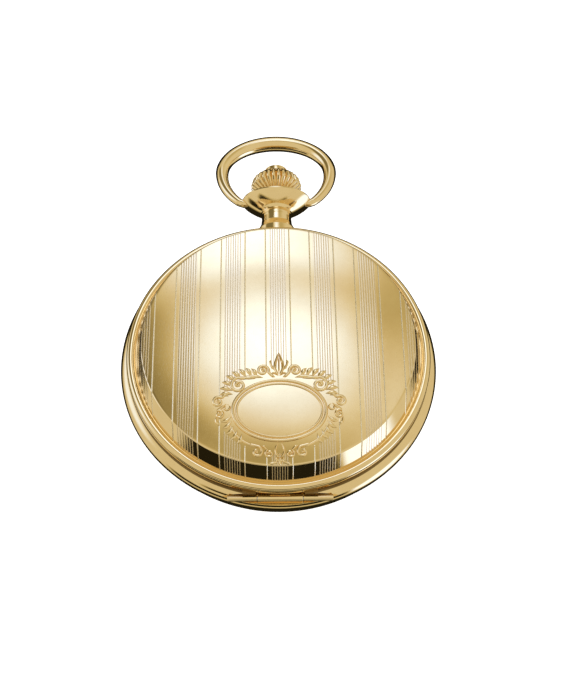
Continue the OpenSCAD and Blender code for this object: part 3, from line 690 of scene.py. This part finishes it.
def make_cartouche():
    relief = Relief()
    relief.oval(6.72, 4.68, 0.5, 0.28)
    relief.oval(6.14, 4.14, 0.34, 0.2)

    def smooth(points, wide, high=0.15, **kind):
        relief.stroke(smooth_path(points), wide, high, **kind)

    def volute(cx, cy, r, start, turn, lead, wide=0.34, high=0.16):
        """Scroll that runs in from its lead and ends at a bead."""
        path = curl(cx, cy, r, start, turn)
        path = smooth_path(lead + [path[0]], 8)[:-1] + path
        relief.stroke(path, wide, high, tip=0.16)
        relief.bead(cx, cy, r * 0.24, high)

    def leaf(x, y, angle, length, bend, wide, high):
        """Short leaf along angle, bowed to its left (bend 1) or to its right (bend -1)."""
        c, s = math.cos(math.radians(angle)), math.sin(math.radians(angle))
        middle = (x + length * 0.35 * c - bend * 0.16 * s, y + length * 0.35 * s + bend * 0.16 * c)
        path = smooth_path([(x - 0.6 * c, y - 0.6 * s), middle, (x + length * c, y + length * s)], 6)
        relief.stroke(path, wide, high, tip=0.45)

    # top: leaf finial between two scrolls
    for s in (-1, 1):
        smooth([(0.02 * s, 9.25), (0.34 * s, 8.1), (0.62 * s, 6.9), (0.3 * s, 5.9), (0.1 * s, 5.4)],
            0.3, 0.17, mirror=False)
    relief.stroke([(0, 8.5 - 0.3 * i) for i in range(10)], 0.2, 0.12, mirror=False)
    smooth([(0.55, 6.3), (1.0, 6.9), (1.25, 7.6), (1.15, 8.0)], 0.26)
    smooth([(0.3, 5.5), (0.75, 5.9), (1.0, 5.6), (0.8, 5.3)], 0.22)
    volute(2.35, 6.3, 0.92, 200, -560, [(0.55, 5.2), (1.0, 5.45)])
    # long scroll along the oval to the shoulder
    smooth([(2.3, 5.15), (3.3, 5.35), (4.4, 5.3), (5.3, 5.1), (6.3, 5.15)], 0.4, 0.14)
    volute(5.85, 4.0, 1.22, 80, -520, [(3.4, 5.0), (4.6, 5.15)], 0.36)
    # leaves that fan out over the shoulder
    for place in ((3.5, 5.7, 62, 1.1), (4.3, 5.8, 58, 1.15), (5.15, 5.7, 50, 1.15),
            (5.95, 5.4, 42, 1.25), (6.7, 4.9, 34, 1.2), (7.15, 4.1, 22, 1.2), (7.35, 3.3, 12, 1.25),
            (7.3, 2.6, 0, 1.2)):
        leaf(*place, 1, 0.5, 0.17)
    # side scrolls
    volute(8.8, 1.45, 0.86, 130, -500, [(7.3, 2.3), (7.8, 2.5)])
    volute(8.6, -0.55, 0.68, 60, 470, [(7.6, 1.1), (8.3, 0.55)], 0.3)
    relief.stroke(curl(7.55, 0.5, 0.52, 100, 330, 0.5), 0.22, 0.14)
    smooth([(9.1, -0.9), (9.0, -1.7), (8.5, -2.2)], 0.28)
    # leaves under the sides
    for place in ((7.45, -1.2, -28, 1.0), (7.3, -2.0, -40, 1.1), (6.9, -2.8, -48, 1.15),
            (6.3, -3.5, -56, 1.1), (5.6, -4.15, -64, 0.95)):
        leaf(*place, -1, 0.46, 0.16)
    smooth([(7.2, -1.9), (6.5, -3.3), (5.4, -4.5), (4.1, -5.3), (2.9, -5.7)], 0.28, 0.13)
    # bottom scrolls and drop
    volute(3.25, -6.35, 0.85, 110, 400, [(4.6, -5.2), (3.9, -5.3)], 0.32)
    volute(1.5, -6.6, 0.62, 60, -480, [(2.7, -5.5), (2.2, -5.6)], 0.28)
    smooth([(0.2, -5.1), (0.55, -5.7), (0.6, -6.4), (0.35, -7.0), (0.0, -7.3)], 0.26)
    relief.stroke(curl(0, -7.25, 0.5, 90, 355, 0.92), 0.26, 0.16, mirror=False)
    relief.stroke([(0, -7.2 - 0.13 * i) for i in range(10)], 0.36, 0.17, mirror=False)
    smooth([(0.25, -7.5), (0.7, -7.9), (1.25, -8.1), (1.35, -7.7)], 0.26)
    relief.shape.build("lid_cartouche", GOLD_RELIEF, "lid", "gold_case")


make_cartouche()


# ---------------------------------------------------------------- band, back and hinge

HINGE_ARMS = [tuple(sorted((s * 3.35, s * tube_hi.x))) for s in (-1, 1)]
ARM_END = 5.4            # the lid's hinge arms: outer end, inner end, underside
ARM_Y = HINGE_Y + 1.2
ARM_Z = LID_Z - 0.33


def make_band():
    """Half-round band with a narrow seam under the lid, cut out for the hinge and the catch."""
    wall, seam_r, high = BAND_R - 3.2, BAND_R - 1.75, 9.5
    profile = [(wall, BACK_Z), (BAND_R - 1.55, BACK_Z)]
    profile += arc(BAND_R - 1.9, MID_Z, 1.9, -72, 72, 40)
    profile += rounded([(BAND_R - 1.33, MID_Z + 1.8), (seam_r, MID_Z + 1.9, 0.1),
        (seam_r, LID_Z, 0.12), (wall, LID_Z)])[1:]
    # the seam under the lid takes the dark gold: painted shade for the gap between lid and band
    seam = [i for i, p in enumerate(profile) if p[1] > MID_Z + 1.74 and p[0] > BAND_R - 2.5]
    band = turned("case_band", profile, [GOLD, GOLD_PAINTED_SHADE], "case", ["case_middle"],
        seg=384, pick=lambda i: 1 if i in seam[:-1] else 0)
    half = tube_hi.x
    notch = cuboid(-half - 0.7, half + 0.7, -26, HINGE_Y + 0.72, HINGE_Z - TUBE_R - 0.02, high)
    beds = [cuboid(*sorted((s * 3.4, s * (ARM_END + 0.1))), HINGE_Y, ARM_Y + 0.05, ARM_Z - 0.05,
        high) for s in (-1, 1)]
    catch_slot = cuboid(-1.6, 1.6, 20.2, 21.7, 7.1, high)
    cut(band, notch, *beds, catch_slot)


make_band()


def make_back():
    """Shallow bowl with a flat resting face and a rolled edge."""
    bowl = rounded([(12.0, 0.0, 2.0), (16.5, 0.25, 2.0), (20.4, 0.75, 0.5), (21.4, 1.75, 0.12)], 6)
    edge = arc(LIP_R - 0.65, BACK_Z - 0.6, 0.65, 215, 360, 18)
    inside = [(LIP_R, BACK_Z), (LIP_R - 1.2, BACK_Z), (21.3, 2.2), (20.2, 1.3), (16.5, 0.8),
        (12.0, 0.5), (0.0, 0.5)]
    turned("back_shell", [(0.0, 0.0)] + bowl + edge + inside, GOLD, "case",
        ["back_cover"], seg=384, closed=False)


make_back()


def tube_piece(shape, x0, x1, r, bore):
    """Hinge tube along X with a rounded rim and a bore."""
    prof = rounded([(bore, x0), (r, x0, 0.08), (r, x1, 0.08), (bore, x1)], 4)
    place = lambda q, h, a: (h, HINGE_Y + q * math.cos(a), HINGE_Z + q * math.sin(a))
    verts, faces, _ = revolve(prof, 48, place)
    shape.add(verts, faces)


def make_hinge_tubes():
    lid_tubes = Shape()
    for side, (x0, x1) in zip((-1, 1), HINGE_ARMS):
        tube_piece(lid_tubes, x0, x1, 0.46, 0.35)
        inner, outer = sorted((side * 3.5, side * ARM_END))
        # the hinge arms take the dark gold: painted shade for the hinge's recess
        lid_tubes.add(*cuboid(inner, outer, HINGE_Y + 0.2, ARM_Y, ARM_Z, LID_Z + 0.02), 1)
    lid_tubes.build("hinge_tubes_lid", [GOLD, GOLD_PAINTED_SHADE], "lid", "gold_case",
        ["lid_hinge_knuckles"])
    mid_tube = Shape()
    tube_piece(mid_tube, mid_tube_lo.x, mid_tube_hi.x, 0.52, 0.31)
    mid_tube.build("hinge_tube_case", GOLD, "case", "gold_case", ["case_hinge_knuckle"])


make_hinge_tubes()


# ---------------------------------------------------------------- pendant, crown and bow

def make_pendant():
    """Waisted neck, and a rounded collar that is wider along X than it is deep."""
    neck = 2.4
    low = rounded([(1.3, pend_lo.y), (1.9, pend_lo.y), (1.9, 22.9), (3.2, 22.9), (3.2, 24.2, 0.1),
        (2.86, 24.75, 0.6), (2.5, 25.6, 0.9), (neck - 0.02, 26.8, 0.8), (neck + 0.02, 27.7, 0.4),
        (neck + 0.1, 28.0)], 8)
    ends = ((2.52, 28.04), (COLLAR_R - 0.9, COLLAR_Y - 1.15), (COLLAR_R, COLLAR_Y - 0.1))
    bulge = [tuple((1 - t) ** 2 * a + 2 * t * (1 - t) * b + t * t * c for a, b, c in zip(*ends))
        for t in np.linspace(0, 1, 30)]
    cup = rounded([bulge[-1], (COLLAR_R, COLLAR_Y + 0.12, 0.1),
        (COLLAR_R - 0.5, COLLAR_Y + 0.42, 0.2), (3.1, COLLAR_Y + 0.62, 0.3), (2.35, CUP_Y, 0.2),
        (1.3, CUP_Y)], 8)[1:]

    def place(r, h, a):
        """Round at the neck, flattened along Z from the collar's start."""
        blend = min(1, max(0, (h - 27.6) / 0.8))
        squash = 1 + (COLLAR_FLAT - 1) * blend
        return r * math.cos(a), h, MID_Z + r * math.sin(a) * squash

    turned("pendant_body", low + bulge + cup, GOLD, "case", ["pendant"], seg=192,
        place=place)


make_pendant()


def make_crown():
    """Onion crown: rounded flutes swell from the collar and close in to a plain cap."""
    y0, y1 = crown_lo.y, crown_hi.y
    big = crown_hi.x
    outer = rounded([(2.3, y0), (2.5, y0 + 0.02, 0.1), (big - 0.12, y0 + 1.2, 0.3),
        (big + 0.02, y0 + 1.55, 0.3), (big - 0.25, y0 + 2.6, 0.8), (big * 0.72, y0 + 3.4, 0.8),
        (2.3, y1 - 1.15, 0.2), (1.6, y1 - 1.2, 0.1), (1.6, y1 - 0.95, 0.1), (1.82, y1 - 0.8, 0.1),
        (1.84, y1 - 0.1, 0.15), (1.3, y1, 0.2), (0.0, y1)], 7)
    hollow = [(0.62, y0 + 2.1), (1.7, y0 + 1.2), (1.7, y0 + 0.02)]
    profile = hollow + outer[:-1] + [(0.0, y1)]
    flutes = 28
    seg = flutes * 14
    plain_r, depth = 2.1, 0.14    # no flutes inside plain_r; depth is a part of the radius

    def fluted(i, a, r):
        if r < plain_r or i < len(hollow):
            return r
        t = min(1, max(0, (r - plain_r) / 0.9))
        rib = abs(math.sin(a * flutes / 2)) ** 0.75
        return r * (1 - depth * t * (1 - rib))

    verts, faces, _ = revolve(profile, seg, on_stem, False, fluted)
    faces.append(tuple(range(seg)))
    add_mesh("crown_body", verts, faces, GOLD_CROWN, "crown", ["crown"], 40)


make_crown()


def make_bow():
    """Oval ring of tapering wire, thickest at its crest; its ends run in to the collar's tips."""
    half = (bow_hi.x - bow_lo.x) / 2 - 1.03
    droop = math.radians(-12)
    wide_y, crest, side_r = 7.1, 7.72, 10.0    # widest line, rise above it, sides' radius
    side = [(half - side_r * (1 - math.cos(u)), wide_y - side_r * math.sin(u))
        for u in np.radians(np.linspace(45, 0, 40))]
    lead = smooth_path([(4.75, -0.3), (5.3, -0.32), side[0]], 6)[:-1]
    over = [(half * math.cos(t), wide_y + crest * math.sin(t))
        for t in np.radians(np.linspace(0, 90, 60))][1:]
    right = lead + side + over
    path = right + [(-x, y) for x, y in reversed(right[:-1])]
    radii = []
    for _, y in path:
        up = min(1, max(0, y / (wide_y + crest)))
        radii.append(0.66 + 0.42 * min(1, up * 1.9) ** 0.8 + 0.2 * up ** 3)
    smooth = np.array(radii)
    for _ in range(6):
        smooth[1:-1] = (smooth[:-2] + smooth[1:-1] * 2 + smooth[2:]) / 4
    bar_line = [(x, COLLAR_Y + y * math.cos(droop), MID_Z + y * math.sin(droop)) for x, y in path]
    verts, faces = sweep(bar_line, smooth, 28)
    add_mesh("bow_ring", verts, faces, GOLD, "bow", ["bow"], 50)


make_bow()


# ---------------------------------------------------------------- dial side

BEZEL_BORE = 18.2


def make_bezel():
    """Rounded ring around the crystal, cut out for the catch."""
    profile = rounded([(BEZEL_BORE, 8.6), (20.3, 8.6), (20.3, BEZEL_Z), (20.8, BEZEL_Z),
        (20.8, LID_Z), (21.2, LID_Z), (21.2, 8.8, 0.1), (20.5, 9.5, 0.5), (19.6, 9.75, 0.3),
        (18.9, 9.6, 0.08), (18.9, 9.05), (BEZEL_BORE, 9.05)])
    ring = turned("bezel_ring", profile, GOLD, "case", ["bezel"], seg=320)
    cut(ring, cuboid(-1.5, 1.5, 20.6, 22.6, 7, 10))


make_bezel()


def make_crystal():
    """Domed glass of nearly even thickness on a short upright rim."""
    rim, foot, tall, steps = crystal_hi.x, crystal_lo.z, 1.3, 40
    low = foot + 0.55
    big = (rim ** 2 + tall ** 2) / (2 * tall)
    dome = lambda base, r: base + tall - big + math.sqrt(big * big - r ** 2)
    outer = [(rim * i / steps, dome(low, rim * i / steps)) for i in range(steps + 1)]
    inner = [(BEZEL_BORE * i / steps, dome(low - 0.62, BEZEL_BORE * i / steps) + 0.06)
        for i in range(steps - 1, -1, -1)]
    turned("crystal_dome", outer + [(rim, foot), (BEZEL_BORE, foot)] + inner, GLASS, "case",
        ["crystal"], seg=256, closed=False)


make_crystal()

SUNK = DIAL_TOP - 0.12    # face of the small seconds


def make_dial():
    under, edge, above = 8.15, 19.5, 9.2
    profile = [(0.0, under), (edge, under)] + arc(edge - 0.1, DIAL_TOP - 0.1, 0.1, 0, 90, 4)
    dial = turned("dial_plate", profile + [(0.0, DIAL_TOP)], ENAMEL, "case",
        ["dial"], seg=256, closed=False)
    sink, sink_faces, _ = revolve([(0.0, SUNK), (4.93, SUNK), (5.05, DIAL_TOP + 0.02),
        (5.05, above), (0.0, above)], 128, around(*SUB), False)
    hole, hole_faces, _ = revolve([(0.0, 7.9), (1.15, 7.9), (1.15, above), (0.0, above)], 48,
        upright, False)
    cut(dial, (sink, sink_faces), (hole, hole_faces))


make_dial()


def bar(shape, centre, angle, length, width, z0, z1, turn=0.0):
    """Thin printed bar: length runs along the given direction."""
    c, s = math.cos(angle + turn), math.sin(angle + turn)
    pts = [(-length / 2, -width / 2), (length / 2, -width / 2), (length / 2, width / 2),
        (-length / 2, width / 2)]
    verts = [(centre[0] + u * c - v * s, centre[1] + u * s + v * c, z)
        for z in (z0, z1) for u, v in pts]
    shape.add(verts, [(3, 2, 1, 0), (4, 5, 6, 7), (0, 1, 5, 4), (1, 2, 6, 5), (2, 3, 7, 6),
        (3, 0, 4, 7)])


def ring_print(shape, centre, r, width, z0, z1, seg=180):
    """Thin printed circle."""
    verts, faces, _ = revolve([(r - width / 2, z0), (r + width / 2, z0), (r + width / 2, z1),
        (r - width / 2, z1)], seg, around(*centre))
    shape.add(verts, faces)


def minute_marks(shape, centre, r, length, bold, fine, z0, z1):
    """Sixty short lines around a centre, every fifth one bold."""
    for i in range(60):
        a = math.radians(6 * i)
        at = (centre[0] + r * math.cos(a), centre[1] + r * math.sin(a))
        bar(shape, at, a, length, bold if i % 5 == 0 else fine, z0, z1)


GLYPH_WIDTH = {"I": 0.78, "V": 2.0, "X": 2.1}
STROKES = ((-1, 0.44), (1, 0.17))    # side and width of a letter's thick and thin stroke


def numeral(shape, text, hour, r, high, z0, z1):
    """Roman numeral from thick and thin strokes with serifs, its foot towards the centre."""
    a = math.radians(90 - 30 * hour)
    outward = np.array((math.cos(a), math.sin(a)))
    right = np.array((math.sin(a), -math.cos(a)))
    pos = -sum(GLYPH_WIDTH[c] for c in text) / 2
    base = math.atan2(outward[1], outward[0])
    for c in text:
        w = GLYPH_WIDTH[c]
        mid = pos + w / 2
        centre = outward * r + right * mid
        if c == "I":
            bar(shape, centre, base, high, 0.42, z0, z1)
            spans = [(mid, 0.74)]
        elif c == "V":
            for s, wide in STROKES:
                foot = outward * r + right * (mid + s * w * 0.18)
                bar(shape, foot, base, math.hypot(high, w * 0.36), wide, z0, z1,
                    -s * math.atan2(w * 0.36, high))
            spans = [(mid - w * 0.36, 0.8), (mid + w * 0.36, 0.62)]
        else:
            for s, wide in STROKES:
                bar(shape, centre, base, math.hypot(high, w * 0.7), wide, z0, z1,
                    s * math.atan2(w * 0.7, high))
            spans = [(mid - w * 0.35, 0.7), (mid + w * 0.35, 0.7)]
        for m, wide in spans:
            for end in ((1, -1) if c != "V" else (1,)):
                p = outward * (r + end * high / 2) + right * m
                bar(shape, p, base + math.pi / 2, wide, 0.1, z0, z1)
        pos += w


HOURS = ("XII", "I", "II", "III", "IIII", "V", "", "VII", "VIII", "IX", "X", "XI")


def make_print():
    """Minute track, hours (the small seconds take the place of VI) and seconds track."""
    shape = Shape()
    main, small = [(z - 0.005, z + 0.015) for z in (DIAL_TOP, SUNK)]
    for r in (17.9, 16.9):
        ring_print(shape, (0, 0), r, 0.09, *main)
    minute_marks(shape, (0, 0), 17.4, 1.0, 0.34, 0.11, *main)
    for hour, text in enumerate(HOURS):
        if text:
            numeral(shape, text, hour, 14.2, 3.6, *main)
    for r in (4.55, 3.95):
        ring_print(shape, SUB, r, 0.06, *small, 120)
    minute_marks(shape, SUB, 4.25, 0.6, 0.2, 0.06, *small)
    shape.build("dial_print", INK, "case", "dial_enamel", sharp=20)


make_print()


def turned_by(loop, angle):
    c, s = math.cos(math.radians(angle)), math.sin(math.radians(angle))
    return [(x * c - y * s, x * s + y * c) for x, y in loop]


def hand_outline(length, spade, size, wide):
    """Spade hand pointing along +Y: right half mirrored to the left."""
    right = smooth_path([(wide, 0.6), (wide * 0.8, spade - size * 1.5),
        (size * 0.45, spade - size * 0.95), (size, spade - size * 0.1),
        (size * 0.72, spade + size * 0.7), (wide * 0.62, spade + size * 1.35),
        (wide * 0.5, spade + size * 2.2), (0.03, length)], 7)
    right = [(float(p[0]), float(p[1])) for p in right]
    return right + [(-x, y) for x, y in reversed(right)]


def hand(name, node, body, length, spade, size, wide, hub, bore, angle):
    """Blued hand with a pierced spade and a round hub, turned from +Y by angle."""
    low, high = box_mm(node)
    turns = [2 * math.pi * i / 28 for i in range(28)]
    eye = [(size * 0.42 * math.cos(t), spade + size * 0.5 * math.sin(t)) for t in turns]
    loops = [turned_by(loop, angle) for loop in (hand_outline(length, spade, size, wide), eye)]
    shape = Shape()
    shape.add(*flat_plate(loops, low.z, high.z, 0.03))
    prof = rounded([(bore, low.z), (hub, low.z, 0.04), (hub, high.z, 0.04), (bore, high.z)], 4)
    verts, faces, _ = revolve(prof, 64)
    shape.add(verts, faces)
    shape.build(name, BLUED, body, "blued_steel", [node], 40)


hand("hour_spade", "hour_hand", "hour", 9.6, 6.5, 1.15, 0.3, 1.3, 0.85, 55)
hand("minute_spade", "minute_hand", "minute", 14.2, 10.4, 0.9, 0.24, 1.0, 0.45, -60)


def make_second_hand():
    """Fine pointer with a hub, and a round counterweight on its tail."""
    low, high = box_mm("second_hand")
    z0, z1, tail, tip = low.z, high.z, -1.15, 3.85
    outline = [(0.08, tail), (0.05, 0.5), (0.02, tip), (-0.02, tip), (-0.05, 0.5), (-0.08, tail)]
    shape = Shape()
    shape.add(*flat_plate([[(x + SUB[0], y + SUB[1]) for x, y in outline]], z0, z1))
    hub = rounded([(0.13, z0), (0.45, z0), (0.45, z1, 0.05), (0.13, z1)], 4)
    verts, faces, _ = revolve(hub, 40, around(*SUB))
    shape.add(verts, faces)
    weight = rounded([(0.0, z0), (0.2, z0), (0.2, z1, 0.04), (0.0, z1)], 3)
    verts, faces, _ = revolve(weight, 28, around(SUB[0], SUB[1] + tail), False)
    shape.add(verts, faces)
    shape.build("second_pointer", BLUED, "seconds", "blued_steel", ["second_hand"], 40)


make_second_hand()


# ---------------------------------------------------------------- finish of the carried-over parts

FINISH = {
    GILT: ("main_plate", "movement_ring", "barrel_bridge", "train_bridge", "balance_cock",
        "pallet_cock"),
    GILT_WHEEL: ("mainspring_barrel", "barrel_cover", "centre_wheel", "third_wheel", "fourth_wheel",
        "balance_wheel", "minute_wheel", "hour_wheel", "setting_wheel"),
    STEEL: ("hinge_pin", "lid_lift_spring", "lid_catch", "catch_screws", "crown_tube", "winding_stem",
        "case_clamps", "case_screws", "mainspring", "barrel_arbor", "ratchet_wheel", "crown_wheel",
        "click", "click_spring", "escape_wheel", "pallet_fork", "balance_staff", "regulator",
        "winding_pinion", "sliding_pinion", "setting_lever", "yoke", "cannon_pinion"),
    BLUED: ("bridge_screws", "ratchet_screw", "crown_wheel_screw", "hairspring"),
    RUBY: ("plate_jewels", "bridge_jewels"),
}
for mat, names in FINISH.items():
    for name in names:
        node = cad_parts[name]
        node.data.materials.clear()
        node.data.materials.append(mat)


# ---------------------------------------------------------------- floor, light and camera

def make_floor():
    """Pale ground that gives off a little light, so it stays even and nearly without shadow."""
    size, drop = 3.0, -0.00002
    mesh = bpy.data.meshes.new("floor")
    mesh.from_pydata([(-size, -size, drop), (size, -size, drop), (size, size, drop),
        (-size, size, drop)], [], [(0, 1, 2, 3)])
    mat, n = material("floor_pale")
    grain = n.noise(n.coords(), 0.02, 2.0)
    color = n.mix(grain, rgba(0.93, 0.93, 0.93), rgba(0.95, 0.95, 0.95))
    shader = n.new("ShaderNodeBsdfPrincipled", Base_Color=color)
    shader.inputs["Roughness"].default_value = 0.9
    shader.inputs["Specular IOR Level"].default_value = 0.0
    shader.inputs["Emission Color"].default_value = (1, 1, 1, 1)
    shader.inputs["Emission Strength"].default_value = 0.97
    n.new("ShaderNodeOutputMaterial", Surface=shader.outputs[0])
    mesh.materials.append(mat)
    floor = bpy.data.objects.new("floor", mesh)
    bpy.context.scene.collection.objects.link(floor)
    floor.visible_glossy = False


make_floor()


# azimuth from +Y towards +X, elevation, half width, softness, gain; the first ten rows are the
# output of a least-squares fit in a scratch script, not values chosen by hand
PANELS = (
    (-5.4, 47.6, 10.1, 10.2, 1.6),
    (-41, 37.1, 13.5, 13.8, -2.07),
    (-1.2, 67.5, 8.4, 9.4, -2.44),
    (-0.1, 62.1, 7.5, 7.7, 3.12),
    (4.5, 60.3, 7.9, 8, -1.66),
    (-39.1, 61.9, 8.1, 8.1, -0.64),
    (-7.5, 65.5, 11.8, 5.7, 0.89),
    (8.1, 64.5, 11.1, 6.4, 1.03),
    (-6.3, 54.9, 8, 6.5, -1.39),
    (27.1, 49.3, 17.5, 13, -0.23),
    (-75, 18, 20, 10, 0.6),
    (122, -18, 18, 6, 1.0),
)
SURROUND = 0.72

# azimuth, elevation, half width, softness of the dark ground below the watch
DARKS = ((0, -90, 48, 8), (0, -45, 58, 6))

# azimuth, half width, lowest and highest elevation of the dark strips on the hinge side
FLAGS = ((192, 50, -29, -8), (188, 34, 11, 26))


def make_world():
    """Studio light: an even surround, soft bright and dark panels, dark ground, two strips."""
    world = bpy.data.worlds.new("studio")
    bpy.context.scene.world = world
    world.use_nodes = True
    n = Nodes(world.node_tree)
    d = n.new("ShaderNodeTexCoord").outputs["Generated"]

    def direction(azimuth, elevation):
        a, e = math.radians(azimuth), math.radians(elevation)
        return (math.sin(a) * math.cos(e), math.cos(a) * math.cos(e), math.sin(e))

    def panel(azimuth, elevation, half, soft, gain, value):
        """Adds gain times a round soft patch to value."""
        node = n.new("ShaderNodeVectorMath", i0=d, i1=direction(azimuth, elevation))
        node.operation = "DOT_PRODUCT"
        away = n.math("ARCCOSINE", node.outputs["Value"])
        patch = n.ramp(away, math.radians(half + soft), math.radians(max(half - soft, 0)))
        return n.math("MULTIPLY_ADD", patch, gain, value)

    total = SURROUND
    for azimuth, elevation, half, soft, gain in PANELS:
        total = panel(azimuth, elevation, half, soft, gain, total)
    total = n.math("MAXIMUM", total, 0.2)
    for azimuth, elevation, half, soft in DARKS:
        total = n.math("MULTIPLY", total, panel(azimuth, elevation, half, soft, -1.0, 1.0))
    x, y, z = n.split(d)[0:3]
    flat = n.math("SQRT", n.math("ADD", n.math("MULTIPLY", x, x), n.math("MULTIPLY", y, y)))
    sine = lambda e: math.sin(math.radians(e))
    for azimuth, half, low, high in FLAGS:
        a = math.radians(azimuth)
        along = n.math("ADD", n.math("MULTIPLY", x, math.sin(a)),
            n.math("MULTIPLY", y, math.cos(a)))
        along = n.math("DIVIDE", along, flat)
        flag = n.ramp(along, math.cos(math.radians(half + 5)), math.cos(math.radians(half - 5)))
        flag = n.math("MULTIPLY", flag, n.ramp(z, sine(low - 4), sine(low + 4)))
        flag = n.math("MULTIPLY", flag, n.ramp(z, sine(high + 4), sine(high - 4)))
        total = n.math("MULTIPLY", total, n.math("SUBTRACT", 1.0, flag))
    total = n.math("MAXIMUM", total, 0.015)
    # dim light is warm, bright light is cool
    tone = n.mix(n.ramp(total, 0.35, 1.4), rgba(1.14, 1.0, 0.56), rgba(0.83, 1.0, 1.5))
    back = n.new("ShaderNodeBackground", Color=tone, Strength=total)
    n.new("ShaderNodeOutputWorld", Surface=back.outputs[0])


make_world()


def make_camera():
    """The photograph's view: 61 degrees above the horizon from the hinge side."""
    lift, roll, reach = 1.0605, math.radians(-0.65), 206 * MM
    target = Vector((0, 0, 4.5 * MM))
    toward = Matrix.Rotation(roll, 3, "Z") @ Vector((0, math.cos(lift), -math.sin(lift)))
    cam = bpy.data.objects.new("camera", bpy.data.cameras.new("camera"))
    bpy.context.scene.collection.objects.link(cam)
    cam.location = target - toward * reach
    cam.rotation_mode = "QUATERNION"
    cam.rotation_quaternion = toward.to_track_quat("-Z", "Y")
    cam.data.sensor_width = 36
    cam.data.lens = 71.73
    cam.data.shift_x, cam.data.shift_y = 0.0171, 0.045
    cam.data.clip_start, cam.data.clip_end = 0.01, 20
    bpy.context.scene.camera = cam


make_camera()
bpy.context.scene.view_settings.view_transform = "Standard"
bpy.context.scene.view_settings.look = "None"
